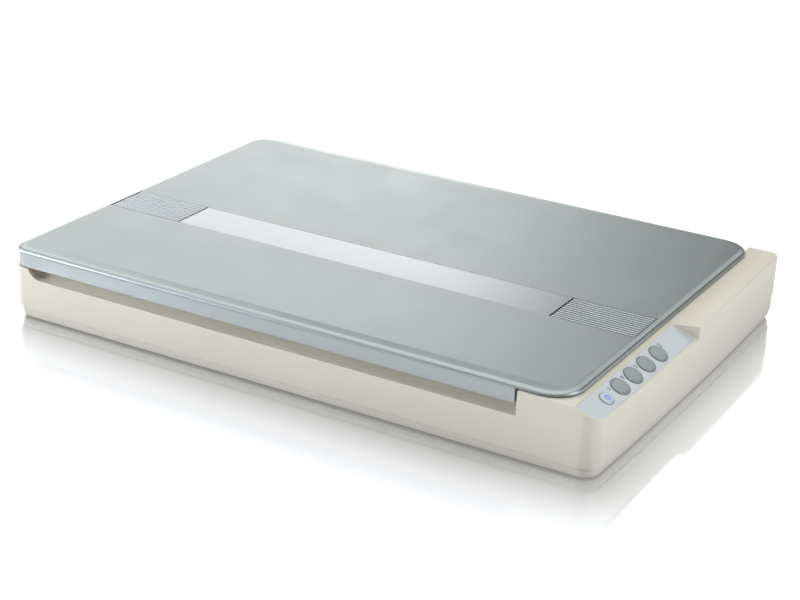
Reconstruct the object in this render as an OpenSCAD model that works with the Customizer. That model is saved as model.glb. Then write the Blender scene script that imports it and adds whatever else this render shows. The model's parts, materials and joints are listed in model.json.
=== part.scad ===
// Large-format flatbed scanner: low body, flat lid with a full-width stripe,
// sloping control panel on the right, contact image sensor carriage inside.
// Frame: +X to the right along the long side, +Y to the back, +Z up.
// Origin: centre of the footprint, at the underside of the rubber feet.

/* [Case] */
// Overall length of the body along X
case_w = 589; // [585:0.5:589]
// Overall depth of the body along Y
case_d = 410; // [410:0.5:412]
// Height of the platen deck above the table
deck_z = 49.3; // [49:0.1:49.4]
// Height of the raised block along the right side
block_z = 62.6; // [62:0.1:62.8]
// Height of the seam between the bottom tray and the top case
seam_z = 9.6; // [9:0.1:10]
// Wall thickness of the mouldings
wall = 2.6; // [2.2:0.1:2.8]
// Sideways bow of the right side wall
side_bow = 3; // [0:0.5:4]

/* [Lid] */
// Height of the lid's top face above the table
lid_top = 68.5; // [68:0.1:69]
// Left edge of the lid
lid_x0 = -293.5; // [-294:0.1:-293]
// Right edge of the lid
lid_x1 = 267; // [266:0.1:268]
// Front edge of the lid
lid_y0 = -204.4; // [-204.6:0.1:-204]
// Back edge of the lid
lid_y1 = 200.4; // [200:0.1:201]
// Underside of the lid's skirt
skirt_z = 50; // [49.9:0.1:50.5]
// Underside of the lid's thin right flange
flange_z = 63.2; // [63:0.1:63.6]

/* [Control panel] */
// Centres of the four large buttons along Y
button_y = [-140.9, -115.2, -89.1, -63.7];
// Centre of the power button along Y
power_y = -167.3; // [-168:0.1:-167]
// Half width of a large button, across the panel
button_r = 8.5; // [8:0.1:8.8]
// Extra half length of a large button, along the panel
button_e = 1.1; // [0.5:0.1:1.5]
// Half width of the power button
power_r = 6.2; // [6:0.1:6.5]
// Travel of each button
button_travel = 0.8; // [0.5:0.1:0.9]

/* [Scan bed] */
// Left edge of the visible scan window
win_x0 = -231; // [-232:0.5:-230]
// Right edge of the visible scan window
win_x1 = 205; // [204:0.5:206]
// Half depth of the visible scan window
win_y = 150.5; // [150:0.5:151]
// Thickness of the platen glass
glass_t = 2.8; // [2.5:0.1:2.8]

/* [Mechanism] */
// Scan line of the parked carriage along X
home_x = 222; // [221:0.5:222]
// Height of the guide rod's axis
rod_z = 17; // [17:0.1:17.2]
// Radius of the guide rod
rod_r = 4; // [3.9:0.05:4]
// Centre line of the belt loop along Y
belt_y = -23; // [-23.5:0.1:-23]
// Inner radius of the belt on its pulleys
belt_r = 6.8; // [6.8:0.1:6.9]
// Drive pulley centre along X
drive_x = -270; // [-270.5:0.1:-270]
// Idler pulley centre along X
idler_x = 252; // [252:0.1:252.5]
// Gear tooth module
gear_m = 0.8; // [0.8:0.1:0.8]

/* [Hidden] */
$fn = 64;
e = 0.01;
beige = "#d6d1c2";
silver = "#b9bfc0";
hw = case_w / 2;
hd = case_d / 2;
slope = atan(0.5);
tray_z = 1.5;
panel_x = 271;
panel_z = 62.4;
// plan centres of the screws that close the case
case_pts = [[-272, -172], [-272, 172], [0, -176], [30, 176], [256, -140], [262, 60]];
foot_pts = [[-258, -168], [-258, 168], [258, -168], [258, 168]];
hinge_x = [-190, 150];
piv_y = 193;
piv_z = 58;
liner_pts = [[-270, -185], [-270, 160], [0, -185], [0, 165], [205, -185], [205, 165]];
gear_cd = 24 * gear_m + 0.08;
comp_y = belt_y - gear_cd;
motor_y = comp_y - gear_cd;
gate_y = 110;
glass_z = deck_z - wall;
board_pts = [[248, 100], [279, 100], [248, 178], [279, 178]];

// ---------- shared shapes ----------
// plan outline with its own radius at each corner; d insets it
module plate2(x0, x1, y0, y1, rfl, rfr, rbr, rbl) {
  polygon([[x0 + rfl, y0], [x1 - rfr, y0], [x1, y0 + rfr], [x1, y1 - rbr], [x1 - rbr, y1],
           [x0 + rbl, y1], [x0, y1 - rbl], [x0, y0 + rfl]]);
  translate([x0 + rfl, y0 + rfl]) circle(r = rfl);
  translate([x1 - rfr, y0 + rfr]) circle(r = rfr);
  translate([x1 - rbr, y1 - rbr]) circle(r = rbr);
  translate([x0 + rbl, y1 - rbl]) circle(r = rbl);
}
// body outline: the right side bows outwards by side_bow
function bow(y) = side_bow * pow((y + 5) / 200, 2);
module case2(d) {
  fr = 16; br = 9;
  fx = hw - bow(-hd + fr) - fr; bx = hw - bow(hd - br) - br;
  side = [for (i = [0 : 8]) let (y = -hd + fr + i * (2 * hd - fr - br) / 8) [hw - bow(y) - d, y]];
  polygon(concat([[-hw + 13, -hd + d], [fx, -hd + d]], side,
    [[bx, hd - d], [-hw + 24, hd - d], [-hw + d, hd - 24], [-hw + d, -hd + 13]]));
  translate([fx, -hd + fr]) circle(r = fr - d);
  translate([bx, hd - br]) circle(r = br - d);
  translate([-hw + 24, hd - 24]) circle(r = 24 - d);
  translate([-hw + 13, -hd + 13]) circle(r = 13 - d);
}
module lid2(d) {
  plate2(lid_x0 + d, lid_x1 - d, lid_y0 + d, lid_y1 - d, 13.5 - d, 28 - d, 29 - d, 23 - d);
}
module box(a, b) translate(a) cube([b[0] - a[0], b[1] - a[1], b[2] - a[2]]);
module up(z0, z1) translate([0, 0, z0]) linear_extrude(height = z1 - z0) children();
module rod_x(x0, x1, y, z, r) translate([x0, y, z]) rotate([0, 90, 0]) cylinder(r = r, h = x1 - x0);
// local frame of the sloping panel: x down the slope, z out of it
module on_panel() translate([panel_x, 0, panel_z]) rotate([0, slope, 0]) children();
panel_u = (281.7 - panel_x) / cos(slope);
module oval2(r, ex) {
  translate([0, -ex]) circle(r = r);
  translate([0, ex]) circle(r = r);
  translate([-r, -ex]) square([2 * r, 2 * ex]);
}
// cross-recess screw with its head up and its tip down
module screw(r, len, hr, hh) {
  difference() {
    union() {
      translate([0, 0, -len]) cylinder(r = r, h = len + e);
      cylinder(r = hr, h = hh);
    }
    for (a = [0, 90]) rotate([0, 0, a]) translate([-hr * 0.6, -0.35, hh * 0.4]) cube([hr * 1.2, 0.7, hh]);
  }
}
// involute spur gear outline, one tooth centred on the X axis before turn
function inv(a) = tan(a) * 180 / PI - a;
module gear2(teeth, turn) {
  rp = gear_m * teeth / 2; rb = rp * cos(20); ra = rp + 0.8 * gear_m; rr = rp - 1.2 * gear_m;
  lo = max(rb, rr);
  half = 90 / teeth + inv(20) - 0.05 / rp * 180 / PI;
  flank = [for (i = [0 : 4]) let (r = lo + (ra - lo) * i / 4) [r, half - inv(acos(min(1, rb / r)))]];
  root = half - inv(acos(min(1, rb / lo)));
  pts = concat(rr < rb ? [[rr, root * 0.55]] : [], flank);
  n = len(pts);
  tooth = concat([for (i = [0 : n - 1]) [pts[i][0], -pts[i][1]]], [for (i = [n - 1 : -1 : 0]) pts[i]]);
  polygon([for (t = [0 : teeth - 1]) for (p = tooth)
    let (a = turn + t * 360 / teeth + p[1]) [p[0] * cos(a), p[0] * sin(a)]]);
}
// coil spring of round wire about Z
module coil(r, w, turns, h) {
  seg = 14; n = round(turns * seg);
  pts = [for (i = [0 : n]) let (a = i * 360 / seg) for (j = [0 : 5]) let (b = j * 60)
    [(r + w * cos(b)) * cos(a), (r + w * cos(b)) * sin(a), h * i / n + w * sin(b)]];
  polyhedron(points = pts, faces = concat(
    [[for (j = [0 : 5]) j]], [[for (j = [5 : -1 : 0]) n * 6 + j]],
    [for (i = [0 : n - 1]) for (j = [0 : 5]) [i * 6 + j, (i + 1) * 6 + j, (i + 1) * 6 + (j + 1) % 6, i * 6 + (j + 1) % 6]]));
}
// space cut out of the raised block above the sloping panel; t sinks it
module panel_cut(t) {
  intersection() {
    translate([panel_x, 0, panel_z]) rotate([0, slope, 0]) translate([-40, -230, -t]) cube([120, 260, 60]);
    translate([0, 0, 30]) linear_extrude(height = 60)
      polygon([[panel_x - t * 0.3, -230], [310, -230], [310, 2.3 + t], [panel_x - t * 0.3, -12 + t]]);
  }
}
// finger scoop under the front of the lid; t widens it
module scoop(t) {
  rod_x(-262, 221 + t, -201.2, 54.3, 14.5 + t);
  translate([-262, -201.2, 54.3]) sphere(r = 14.5 + t);
}

// ---------- case ----------
module case_solid(t, top) {
  difference() {
    union() {
      up(t > 0 ? seam_z - 1 : seam_z, deck_z - t) case2(t);
      up(t > 0 ? 49.3 : 40, block_z - t) intersection() {
        case2(t);
        translate([222 + t, -hd]) square([100, 2 * hd]);
      }
      if (t > 0) up(20, block_z - t) intersection() {
        case2(t);
        translate([247, -hd]) square([100, 2 * hd]);
      }
    }
    panel_cut(t);
    scoop(t);
    // lowered ledge along the back, where the lid's heel swings down
    box([-hw - 1, 186 - t, 46.3 - t], [261.2 + t, hd + 1, 80]);
  }
}
module upper_case() color(beige) {
  difference() {
    union() {
      difference() {
        case_solid(0, 0);
        case_solid(wall, 0);
      }
      // screw bosses hang from the deck
      for (p = case_pts) translate([p[0], p[1], 6]) cylinder(r = 4.2, h = (p[0] > 240 ? 60.5 : 47) - 6);
      for (y = [-183, -48]) on_panel() translate([panel_u - 9, y, -11.1]) cylinder(r = 2.4, h = 9);
    }
    box([win_x0, -win_y, 40], [win_x1, win_y, 55]);
    // pocket above the glass for the white reference strip
    box([207.5, -153, 46], [220.5, 153, 47.2]);
    for (p = case_pts) translate([p[0], p[1], 5]) cylinder(r = 1.3, h = 22);
    for (x = hinge_x) box([x - 12.4, 186.7, 40], [x + 12.4, 199.3, 55]);
    on_panel() {
      for (y = button_y) translate([panel_u, y, -8]) linear_extrude(height = 12) oval2(button_r + 0.35, button_e);
      translate([panel_u, power_y, -8]) linear_extrude(height = 12) oval2(power_r + 0.35, 0.7);
      for (y = [-183, -48]) translate([panel_u - 9, y, -12]) cylinder(r = 1, h = 9);
    }
    panel_sheet(0.12, -0.5, 4);
    // rear sockets
    box([249.6, hd - 6, 9], [262.4, hd + 1, 21.9]);
    box([265.6, hd - 6, 9], [275.4, hd + 1, 21.9]);
  }
}
module panel_sheet(g, z0, z1) {
  intersection() {
    on_panel() translate([1.0 - g, -230, z0]) cube([22.2 + 2 * g, 260, z1 - z0]);
    translate([0, 0, 20]) linear_extrude(height = 60) intersection() {
      case2(1.6 - g);
      polygon([[200, -203.6 - g], [310, -203.6 - g], [310, 0.9 + g], [panel_x, -13.4 + g], [200, -13.4 + g]]);
    }
  }
}
module lower_case() color("#cdc8b9") {
  difference() {
    union() {
      difference() {
        union() {
          up(tray_z, 3.4) case2(3.4);
          up(3.4, 5.4) case2(2.2);
          up(5.4, seam_z - 0.1) case2(1);
          up(seam_z - 1, seam_z + 2) case2(wall + 0.25);
        }
        up(4, 20) case2(wall + 1.9);
      }
      // floor ribs beside the carriage track
      for (y = [-167.5, 166]) box([-240, y, 3.9], [230, y + 1.5, 7]);
      for (p = case_pts) translate([p[0], p[1], 3.9]) cylinder(r = 5.2, h = 1.7);
      for (p = board_pts) translate([p[0], p[1], 3.9]) cylinder(r = 3, h = 5.1);
    }
    box([249, 198, 9.3], [276, 203, 13]);
    for (p = foot_pts) translate([p[0], p[1], 1]) cylinder(r = 9.2, h = 1.3);
    for (p = case_pts) translate([p[0], p[1], 0]) { cylinder(r = 1.8, h = 8); cylinder(r = 3.6, h = 3.6); }
    for (p = board_pts) translate([p[0], p[1], 4.2]) cylinder(r = 1, h = 6);
    // vents
    for (i = [0 : 9]) box([255 + i * 3, -60, 1], [256.4 + i * 3, -20, 5]);
  }
}
module platen_glass() color([0.75, 0.85, 0.85, 0.5])
  box([-247, -162, glass_z - glass_t], [243, 162, glass_z]);
module calibration_strip() color("white") box([208, -152, glass_z], [220, 152, glass_z + 0.3]);
module rubber_feet() color("#3a3a3c") for (p = foot_pts) translate([p[0], p[1], 0]) {
  cylinder(r = 8.6, h = 1.2);
  translate([0, 0, 1]) cylinder(r = 9, h = 1.3);
}
module case_screws() color("#8a8d90") for (p = case_pts) translate([p[0], p[1], 3.6]) rotate([180, 0, 0])
  screw(1.3, 14, 3.2, 1.4);

// ---------- lid ----------
module lid_shell() color(silver) {
  difference() {
    union() {
      up(flange_z, 66.4) lid2(0);
      up(66.4, 67.6) lid2(2.2);
      up(67.6, lid_top) lid2(5.5);
      up(skirt_z, flange_z + e) intersection() {
        lid2(0);
        translate([-300, -210]) square([519, 420]);
      }
    }
    // hollow underneath
    up(skirt_z - 1, 66) intersection() {
      lid2(2.2);
      translate([-300, -210]) square([516.8, 420]);
    }
    up(flange_z - 1, 66) intersection() {
      lid2(2.2);
      translate([219, -210]) square([60, 420]);
    }
    // shallow channel for the grips and the stripe
    box([-288.2, -68.6, 67.2], [262, -20.2, 70]);
    // notches in the back skirt around the hinge posts
    for (x = hinge_x) box([x - 17, 190, 40], [x + 17, 205, 66]);
    // key holes in the top for the grips' and the stripe's pegs
    for (x = [-250, -120, 100, 225]) translate([x, -44.5, 60]) cylinder(r = 2.1, h = 9);
  }
  // bosses for the inner cover
  for (p = liner_pts) translate([p[0], p[1], 53.1]) difference() {
    cylinder(r = 4, h = 13);
    translate([0, 0, -1]) cylinder(r = 1.2, h = 10);
  }
  for (x = hinge_x) for (s = [-6.5, 6.5]) translate([x + s, 178, 66.1 - 1.9]) difference() {
    cylinder(r = 3, h = 2);
    translate([0, 0, -1]) cylinder(r = 1.1, h = 2.2);
  }
}
module lid_liner() color("#e8e6df") difference() {
  up(51, 53) intersection() {
    lid2(2.5);
    translate([-300, -210]) square([516.5, 420]);
  }
  for (x = hinge_x) box([x - 17.5, 170, 40], [x + 17.5, 205, 66]);
  for (p = liner_pts) translate([p[0], p[1], 50]) { cylinder(r = 1.7, h = 6); cylinder(r = 3.3, h = 1.9); }
}
module lid_flange_liner() color("#e8e6df") up(63.8, 65.4) intersection() {
  lid2(2.5);
  translate([219.3, -210]) square([60, 420]);
}
module lid_pad() color("#f2f2ef") box([-228, -148.5, 47.5], [202, 148.5, 51]);
module lid_backing() color("white") box([-228, -148.5, 47.1], [202, 148.5, 47.5]);
module lid_stripe() color("#dfe1e6") {
  box([-206.8, -68.4, 67.2], [181.8, -20.4, lid_top]);
  for (x = [-120, 100]) translate([x, -44.5, 65.7]) cylinder(r = 2, h = 1.8);
}
module grip(x0, x1, px) {
  box([x0, -68.4, 67.2], [x1, -20.4, 67.9]);
  for (i = [0 : 10]) box([x0 + 1, -66.9 + i * 4.22, 67.8], [x1 - 1, -64.5 + i * 4.22, 68.5]);
  translate([px, -44.5, 65.7]) cylinder(r = 2, h = 1.8);
}
module lid_grip_left() color("#a9afaf") grip(-288, -207.2, -250);
module lid_grip_right() color("#9aa0a1") grip(182.2, 261.8, 225);
module lid_screws() color("#8a8d90") {
  for (p = liner_pts) translate([p[0], p[1], 51.9]) rotate([180, 0, 0]) screw(1.2, 8, 3, 0.8);
  for (x = hinge_x) for (s = [-6.5, 6.5]) translate([x + s, 178, 62.5]) rotate([180, 0, 0]) screw(1.1, 2.6, 2.4, 1);
}

// ---------- hinges ----------
module hinge_sockets() color("#55585a") for (x = hinge_x) difference() {
  box([x - 15, 184.4, 11.9], [x + 15, 201.6, 43.6]);
  box([x - 12.4, 186.7, 13.7], [x + 12.4, 199.3, 50]);
}
module hinge_posts() color("#c9c5b8") for (x = hinge_x) difference() {
  union() {
    box([x - 12, 187, 14], [x + 12, 199, 50]);
    box([x - 10, 187, 49.9], [x + 10, 199, piv_z]);
    rod_x(x - 10, x + 10, piv_y, piv_z, 6);
  }
  rod_x(x - 11, x + 11, piv_y, piv_z, 2.5);
  // lightening pocket from below
  box([x - 9, 189.4, 10], [x + 9, 196.6, 44]);
}
module hinge_pins() color("#9fa3a6") for (x = hinge_x) {
  rod_x(x - 15.2, x + 15.2, piv_y, piv_z, 2.5);
  rod_x(x - 16.2, x - 15.2, piv_y, piv_z, 3.6);
}
module hinge_leaves() color("#6b6f72") for (x = hinge_x) difference() {
  union() {
    box([x - 15, 172, 62.6], [x + 15, 186.5, 64.1]);
    for (s = [-14.8, 10.8]) {
      box([x + s, 172, 58], [x + s + 4, 197, 64.1]);
      rod_x(x + s, x + s + 4, piv_y, piv_z, 5.6);
      box([x + s, 186, 56], [x + s + 4, 193, 60]);
    }
  }
  rod_x(x - 20, x + 20, piv_y, piv_z, 2.55);
  for (s = [-6.5, 6.5]) translate([x + s, 178, 60]) cylinder(r = 1.3, h = 6);
}

// ---------- control panel ----------
module panel_overlay() color("#c3c9cf") difference() {
  panel_sheet(0, -0.5, 0);
  on_panel() {
    for (y = button_y) translate([panel_u, y, -8]) linear_extrude(height = 12) oval2(button_r + 0.35, button_e);
    translate([panel_u, power_y, -8]) linear_extrude(height = 12) oval2(power_r + 0.35, 0.7);
  }
}
module key(y, r, ex) on_panel() translate([panel_u, y, 0]) {
  translate([0, 0, -4]) linear_extrude(height = 5) oval2(r, ex);
  translate([0, 0, 0.9]) linear_extrude(height = 0.7) oval2(r - 0.7, ex);
  translate([0, 0, -5]) linear_extrude(height = 1.4) oval2(r + 1.3, ex);
  translate([0, 0, -6.2]) cylinder(r = 1.8, h = 2);
}
module button_1() color("#9ea4a4") key(button_y[0], button_r, button_e);
module button_2() color("#9ea4a4") key(button_y[1], button_r, button_e);
module button_3() color("#9ea4a4") key(button_y[2], button_r, button_e);
module button_4() color("#9ea4a4") key(button_y[3], button_r, button_e);
module icon2() {
  difference() {
    circle(r = 2.7);
    circle(r = 1.9);
    translate([-4, -0.9]) square([4, 1.8]);
  }
  translate([-2.9, -0.35]) square([2.6, 0.7]);
}
module power_button() color("#c5cbd0") difference() {
  key(power_y, power_r, 0.7);
  on_panel() translate([panel_u, power_y, 0.9]) linear_extrude(height = 3) icon2();
}
module power_icon() color("#2f86e8") on_panel() translate([panel_u, power_y, 0.9]) linear_extrude(height = 0.7) icon2();
module button_board() color("#2f6b3f") on_panel() difference() {
  translate([3, -187, -12.8]) cube([18, 143, 1.6]);
  for (y = [-183, -48]) translate([panel_u - 9, y, -14]) cylinder(r = 1.3, h = 4);
}
module panel_switches() color("#2b2d2f") on_panel() for (y = concat(button_y, [power_y])) translate([panel_u, y, -11.2]) {
  translate([-3, -3, 0]) cube([6, 6, 3.4]);
  cylinder(r = 1.7, h = 3.9);
  if (y == power_y) translate([5.6, 0, 0]) cylinder(r = 1.2, h = 2.4);
}

// ---------- electronics ----------
module main_board() color("#2f6b3f") difference() {
  box([244, 95, 9], [283, 196, 10.6]);
  for (p = board_pts) translate([p[0], p[1], 8]) cylinder(r = 1.3, h = 4);
}
module board_chips() color("#26282b") {
  box([256, 128, 10.6], [272, 144, 12.2]);
  box([258, 152, 10.6], [270, 158, 12]);
  box([245, 103, 10.6], [249, 117.5, 14.6]);
  box([258, 104, 10.6], [272, 109, 15.6]);
  for (p = [[277, 165, 4], [277, 153, 4], [252, 166, 3]]) translate([p[0], p[1], 10.6]) cylinder(r = p[2], h = 11);
}
module board_screws() color("#8a8d90") {
  for (p = board_pts) translate([p[0], p[1], 10.6]) screw(1, 5.5, 2.2, 1.2);
  on_panel() for (y = [-183, -48]) translate([panel_u - 9, y, -12.8]) rotate([180, 0, 0]) screw(1, 6.5, 2.1, 1.1);
}
module usb_port() color("#b5b8ba") difference() {
  box([250, 188, 10.6], [262, 204.6, 21.6]);
  difference() {
    box([251.7, 196, 12.2], [260.3, 206, 20]);
    box([253.2, 195, 14.6], [258.8, 203.8, 17.8]);
  }
}
module dc_jack() color("#202224") difference() {
  box([266, 190, 10.6], [275, 204.6, 21.6]);
  translate([270.5, 195, 16.1]) rotate([-90, 0, 0]) difference() {
    cylinder(r = 2.9, h = 12);
    translate([0, 0, -1]) cylinder(r = 1, h = 9.8);
  }
}

// ---------- carriage ----------
module guide_rod() color("#c7cacc") rod_x(-260.8, 255.8, 0, rod_z, rod_r);
module rod_supports() color("#3c3f42") for (x = [-262, 247]) difference() {
  union() {
    box([x, -7, 4], [x + (x < 0 ? 8 : 10), 7, 21.8]);
    box([x, -11, 4], [x + (x < 0 ? 8 : 10), 11, 6]);
  }
  rod_x(x - (x < 0 ? -1.2 : 1), x + (x < 0 ? 9 : 8.8), 0, rod_z, rod_r);
}
module carriage_frame() color("#2c2e31") difference() {
  union() {
    box([home_x - 17, -163, 23], [home_x + 17, 163, 36]);
    box([home_x - 22, -8.5, 8.5], [home_x + 22, 8.5, 24]);
    // flag for the home sensor
    box([home_x + 2, 60.4, 13], [home_x + 12, 61.6, 24]);
  }
  box([home_x - 14.5, -161, 25.5], [home_x + 14.5, 161, 40]);
  rod_x(home_x - 23, home_x + 23, 0, rod_z, 6);
}
module carriage_bushings() color("#b08d4f") for (x = [home_x - 22, home_x + 10]) difference() {
  rod_x(x, x + 12, 0, rod_z, 6);
  rod_x(x - 1, x + 13, 0, rod_z, rod_r + 0.04);
}
module cis_housing() color("#1d1e20") difference() {
  box([home_x - 8.5, -159, 31], [home_x + 8.5, 159, 43]);
  // slot for the lens, pocket for the cover glass, groove for the light guide, recess for the board
  box([home_x - 1.2, -152.5, 30], [home_x + 1.2, 152.5, 44]);
  box([home_x - 6.1, -156.1, 42], [home_x + 6.1, 156.1, 44]);
  box([home_x + 2.6, -153, 36.5], [home_x + 6.1, 153, 42.5]);
  box([home_x - 7.1, -141, 30], [home_x + 7.1, 141, 32.2]);
}
module cis_cover_glass() color([0.8, 0.9, 0.9, 0.5]) box([home_x - 6, -156, 42.05], [home_x + 6, 156, 43.05]);
module rod_lens_array() color("#3c4a5a") box([home_x - 1.15, -152, 34.5], [home_x + 1.15, 152, 40.5]);
module light_guide() color("#dfeeff") translate([home_x + 4.35, -152.5, 38.4]) rotate([-90, 0, 0]) cylinder(r = 1.7, h = 305);
module cis_board() color("#2f6b3f") {
  box([home_x - 7, -140.5, 31], [home_x + 7, 140.5, 32.1]);
  box([home_x - 0.4, -139, 32], [home_x + 0.4, 139, 32.6]);
}
module cis_spacers() color("#e9e9e4") for (s = [-1, 1]) {
  box([home_x - 8, s * 158 - 1, 43], [home_x + 8, s * 158 + 1, 43.7]);
  for (x = [-6.4, 5]) box([home_x + x, s * 159 + (s < 0 ? -1.2 : 0), 38], [home_x + x + 1.4, s * 159 + (s < 0 ? 0 : 1.2), 43.7]);
}
module cis_springs() color("#b9bcbe") for (s = [-1, 1]) translate([home_x, s * 150, 26]) coil(3.4, 0.45, 3, 4.5);
module belt_clamp() color("#4a4d50") difference() {
  box([home_x - 9, -18, 12.4], [home_x + 9, -8.5, 22.6]);
  box([home_x - 10, -16.5, 10], [home_x + 10, -15, 20.4]);
  translate([home_x, -25, 21.6 - 1]) rotate([0, 0, 0]) cylinder(r = 1, h = 1);
}

// ---------- drive ----------
module loop2(r) {
  translate([drive_x, belt_y]) circle(r = r);
  translate([idler_x, belt_y]) circle(r = r);
  translate([drive_x, belt_y - r]) square([idler_x - drive_x, 2 * r]);
}
module timing_belt() color("#1c1c1e") up(14, 20) difference() { loop2(belt_r + 0.9); loop2(belt_r); }
module pulley(toothed) {
  difference() {
    translate([0, 0, 13.7]) cylinder(r = belt_r - 0.4, h = 6.6);
    if (toothed) for (i = [0 : 17]) rotate([0, 0, i * 20]) translate([belt_r - 0.4, 0, 13]) cylinder(r = 0.55, h = 8);
  }
  translate([0, 0, 13.1]) cylinder(r = belt_r + 1.5, h = 0.6);
  translate([0, 0, 20.3]) cylinder(r = belt_r + 1.5, h = 0.7);
}
module drive_pulley() color("#d8d6cc") translate([drive_x, belt_y, 0]) difference() {
  pulley(true);
  translate([0, 0, 10]) cylinder(r = 1.5, h = 14);
}
module drive_gear() color("#e2dfd2") translate([drive_x, belt_y, 0]) difference() {
  union() {
    up(8.6, 11) gear2(36, 0);
    translate([0, 0, 7.6]) cylinder(r = 4, h = 3.4);
  }
  translate([0, 0, 5]) cylinder(r = 1.5, h = 8);
}
module drive_shaft() color("#b9bcbe") translate([drive_x, belt_y, 7]) cylinder(r = 1.5, h = 15);
module reduction_gear() color("#efece0") translate([drive_x, comp_y, 0]) difference() {
  union() {
    up(5.7, 8.2) gear2(36, 0);
    up(8.1, 11.1) gear2(12, 15);
  }
  translate([0, 0, 4]) cylinder(r = 1.55, h = 9);
}
module motor_body() color("#8f9396") translate([drive_x, motor_y, 0]) difference() {
  union() {
    translate([0, 0, 12.8]) cylinder(r = 17.5, h = 16);
    translate([0, 0, 28.8]) cylinder(r = 5, h = 1.4);
    translate([-4, -23.5, 12.8]) cube([8, 47, 1.2]);
  }
  translate([0, 0, 12]) cylinder(r = 1.55, h = 19);
  for (s = [-20.6, 20.6]) translate([0, s, 12]) cylinder(r = 1.5, h = 4);
}
module motor_shaft() color("#c7cacc") translate([drive_x, motor_y, 5.2]) cylinder(r = 1.5, h = 23.5);
module motor_pinion() color("#c9a24a") translate([drive_x, motor_y, 0]) difference() {
  up(5.6, 8.4) gear2(12, 15);
  translate([0, 0, 5]) cylinder(r = 1.5, h = 5);
}
module motor_bracket() color("#a5a9ab") difference() {
  union() {
    box([-289, -86, 11.6], [-253.2, -12, 12.8]);
    for (x = [-289, -254.8]) for (y = [-86, -17]) {
      box([x, y, 4], [x + 1.6, y + 5, 12]);
    }
    translate([drive_x, comp_y, 4.6]) cylinder(r = 1.5, h = 8.2);
    translate([drive_x, comp_y, 4.6]) cylinder(r = 2.6, h = 0.7);
  }
  translate([drive_x, belt_y, 10]) cylinder(r = 1.54, h = 5);
  translate([drive_x, motor_y, 10]) cylinder(r = 4, h = 5);
  for (s = [-20.6, 20.6]) translate([drive_x, motor_y + s, 10]) cylinder(r = 1.5, h = 5);
}
module idler_pulley() color("#d8d6cc") translate([idler_x, belt_y, 0]) difference() {
  pulley(false);
  translate([0, 0, 10]) cylinder(r = 2.05, h = 14);
}
module tensioner_bracket() color("#a5a9ab") {
  difference() {
    box([idler_x - 9, belt_y - 10, 4], [idler_x + 14, belt_y + 10, 5.5]);
    for (s = [-7, 7]) box([idler_x - 4, belt_y + s - 1, 3], [idler_x + 8, belt_y + s + 1, 7]);
  }
  translate([idler_x, belt_y, 5.4]) cylinder(r = 4, h = 7.3);
  translate([idler_x, belt_y, 5.4]) cylinder(r = 2, h = 16.2);
  box([idler_x + 12.5, belt_y - 4, 5.4], [idler_x + 14, belt_y + 4, 13]);
}
module tensioner_spring() color("#b9bcbe") translate([idler_x + 14.6, belt_y, 9]) rotate([0, 90, 0]) coil(2.4, 0.4, 9, 16);
module home_sensor() color("#1a1a1c") difference() {
  box([227, 55, 4], [239, 67, 20]);
  box([226, 59.6, 8], [240, 62.4, 21]);
}

// ---------- flat cable ----------
module ffc_fixed() color("#e6e6e2") box([-4, gate_y - 8, 4], [244, gate_y + 8, 4.3]);
// the free stretch climbs from the tray's middle to the carriage
function climb(i) = let (t = i / 24) [-4 + t * 207, 4.7 + 20.5 * (t * t * (3 - 2 * t))];
module ffc_moving() color("#e6e6e2") translate([0, gate_y + 8, 0]) rotate([90, 0, 0]) linear_extrude(height = 16)
  polygon(concat([for (i = [0 : 24]) climb(i)], [for (i = [24 : -1 : 0]) climb(i) + [0, 0.3]]));

lower_case();
upper_case();
platen_glass();
calibration_strip();
rubber_feet();
case_screws();
lid_shell();
lid_liner();
lid_flange_liner();
lid_pad();
lid_backing();
lid_stripe();
lid_grip_left();
lid_grip_right();
lid_screws();
hinge_sockets();
hinge_posts();
hinge_pins();
hinge_leaves();
panel_overlay();
button_1();
button_2();
button_3();
button_4();
power_button();
power_icon();
button_board();
panel_switches();
main_board();
board_chips();
board_screws();
usb_port();
dc_jack();
guide_rod();
rod_supports();
carriage_frame();
carriage_bushings();
cis_housing();
cis_cover_glass();
rod_lens_array();
light_guide();
cis_board();
cis_spacers();
cis_springs();
belt_clamp();
timing_belt();
drive_pulley();
drive_gear();
drive_shaft();
reduction_gear();
motor_body();
motor_shaft();
motor_pinion();
motor_bracket();
idler_pulley();
tensioner_bracket();
tensioner_spring();
home_sensor();
ffc_fixed();
ffc_moving();
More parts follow.
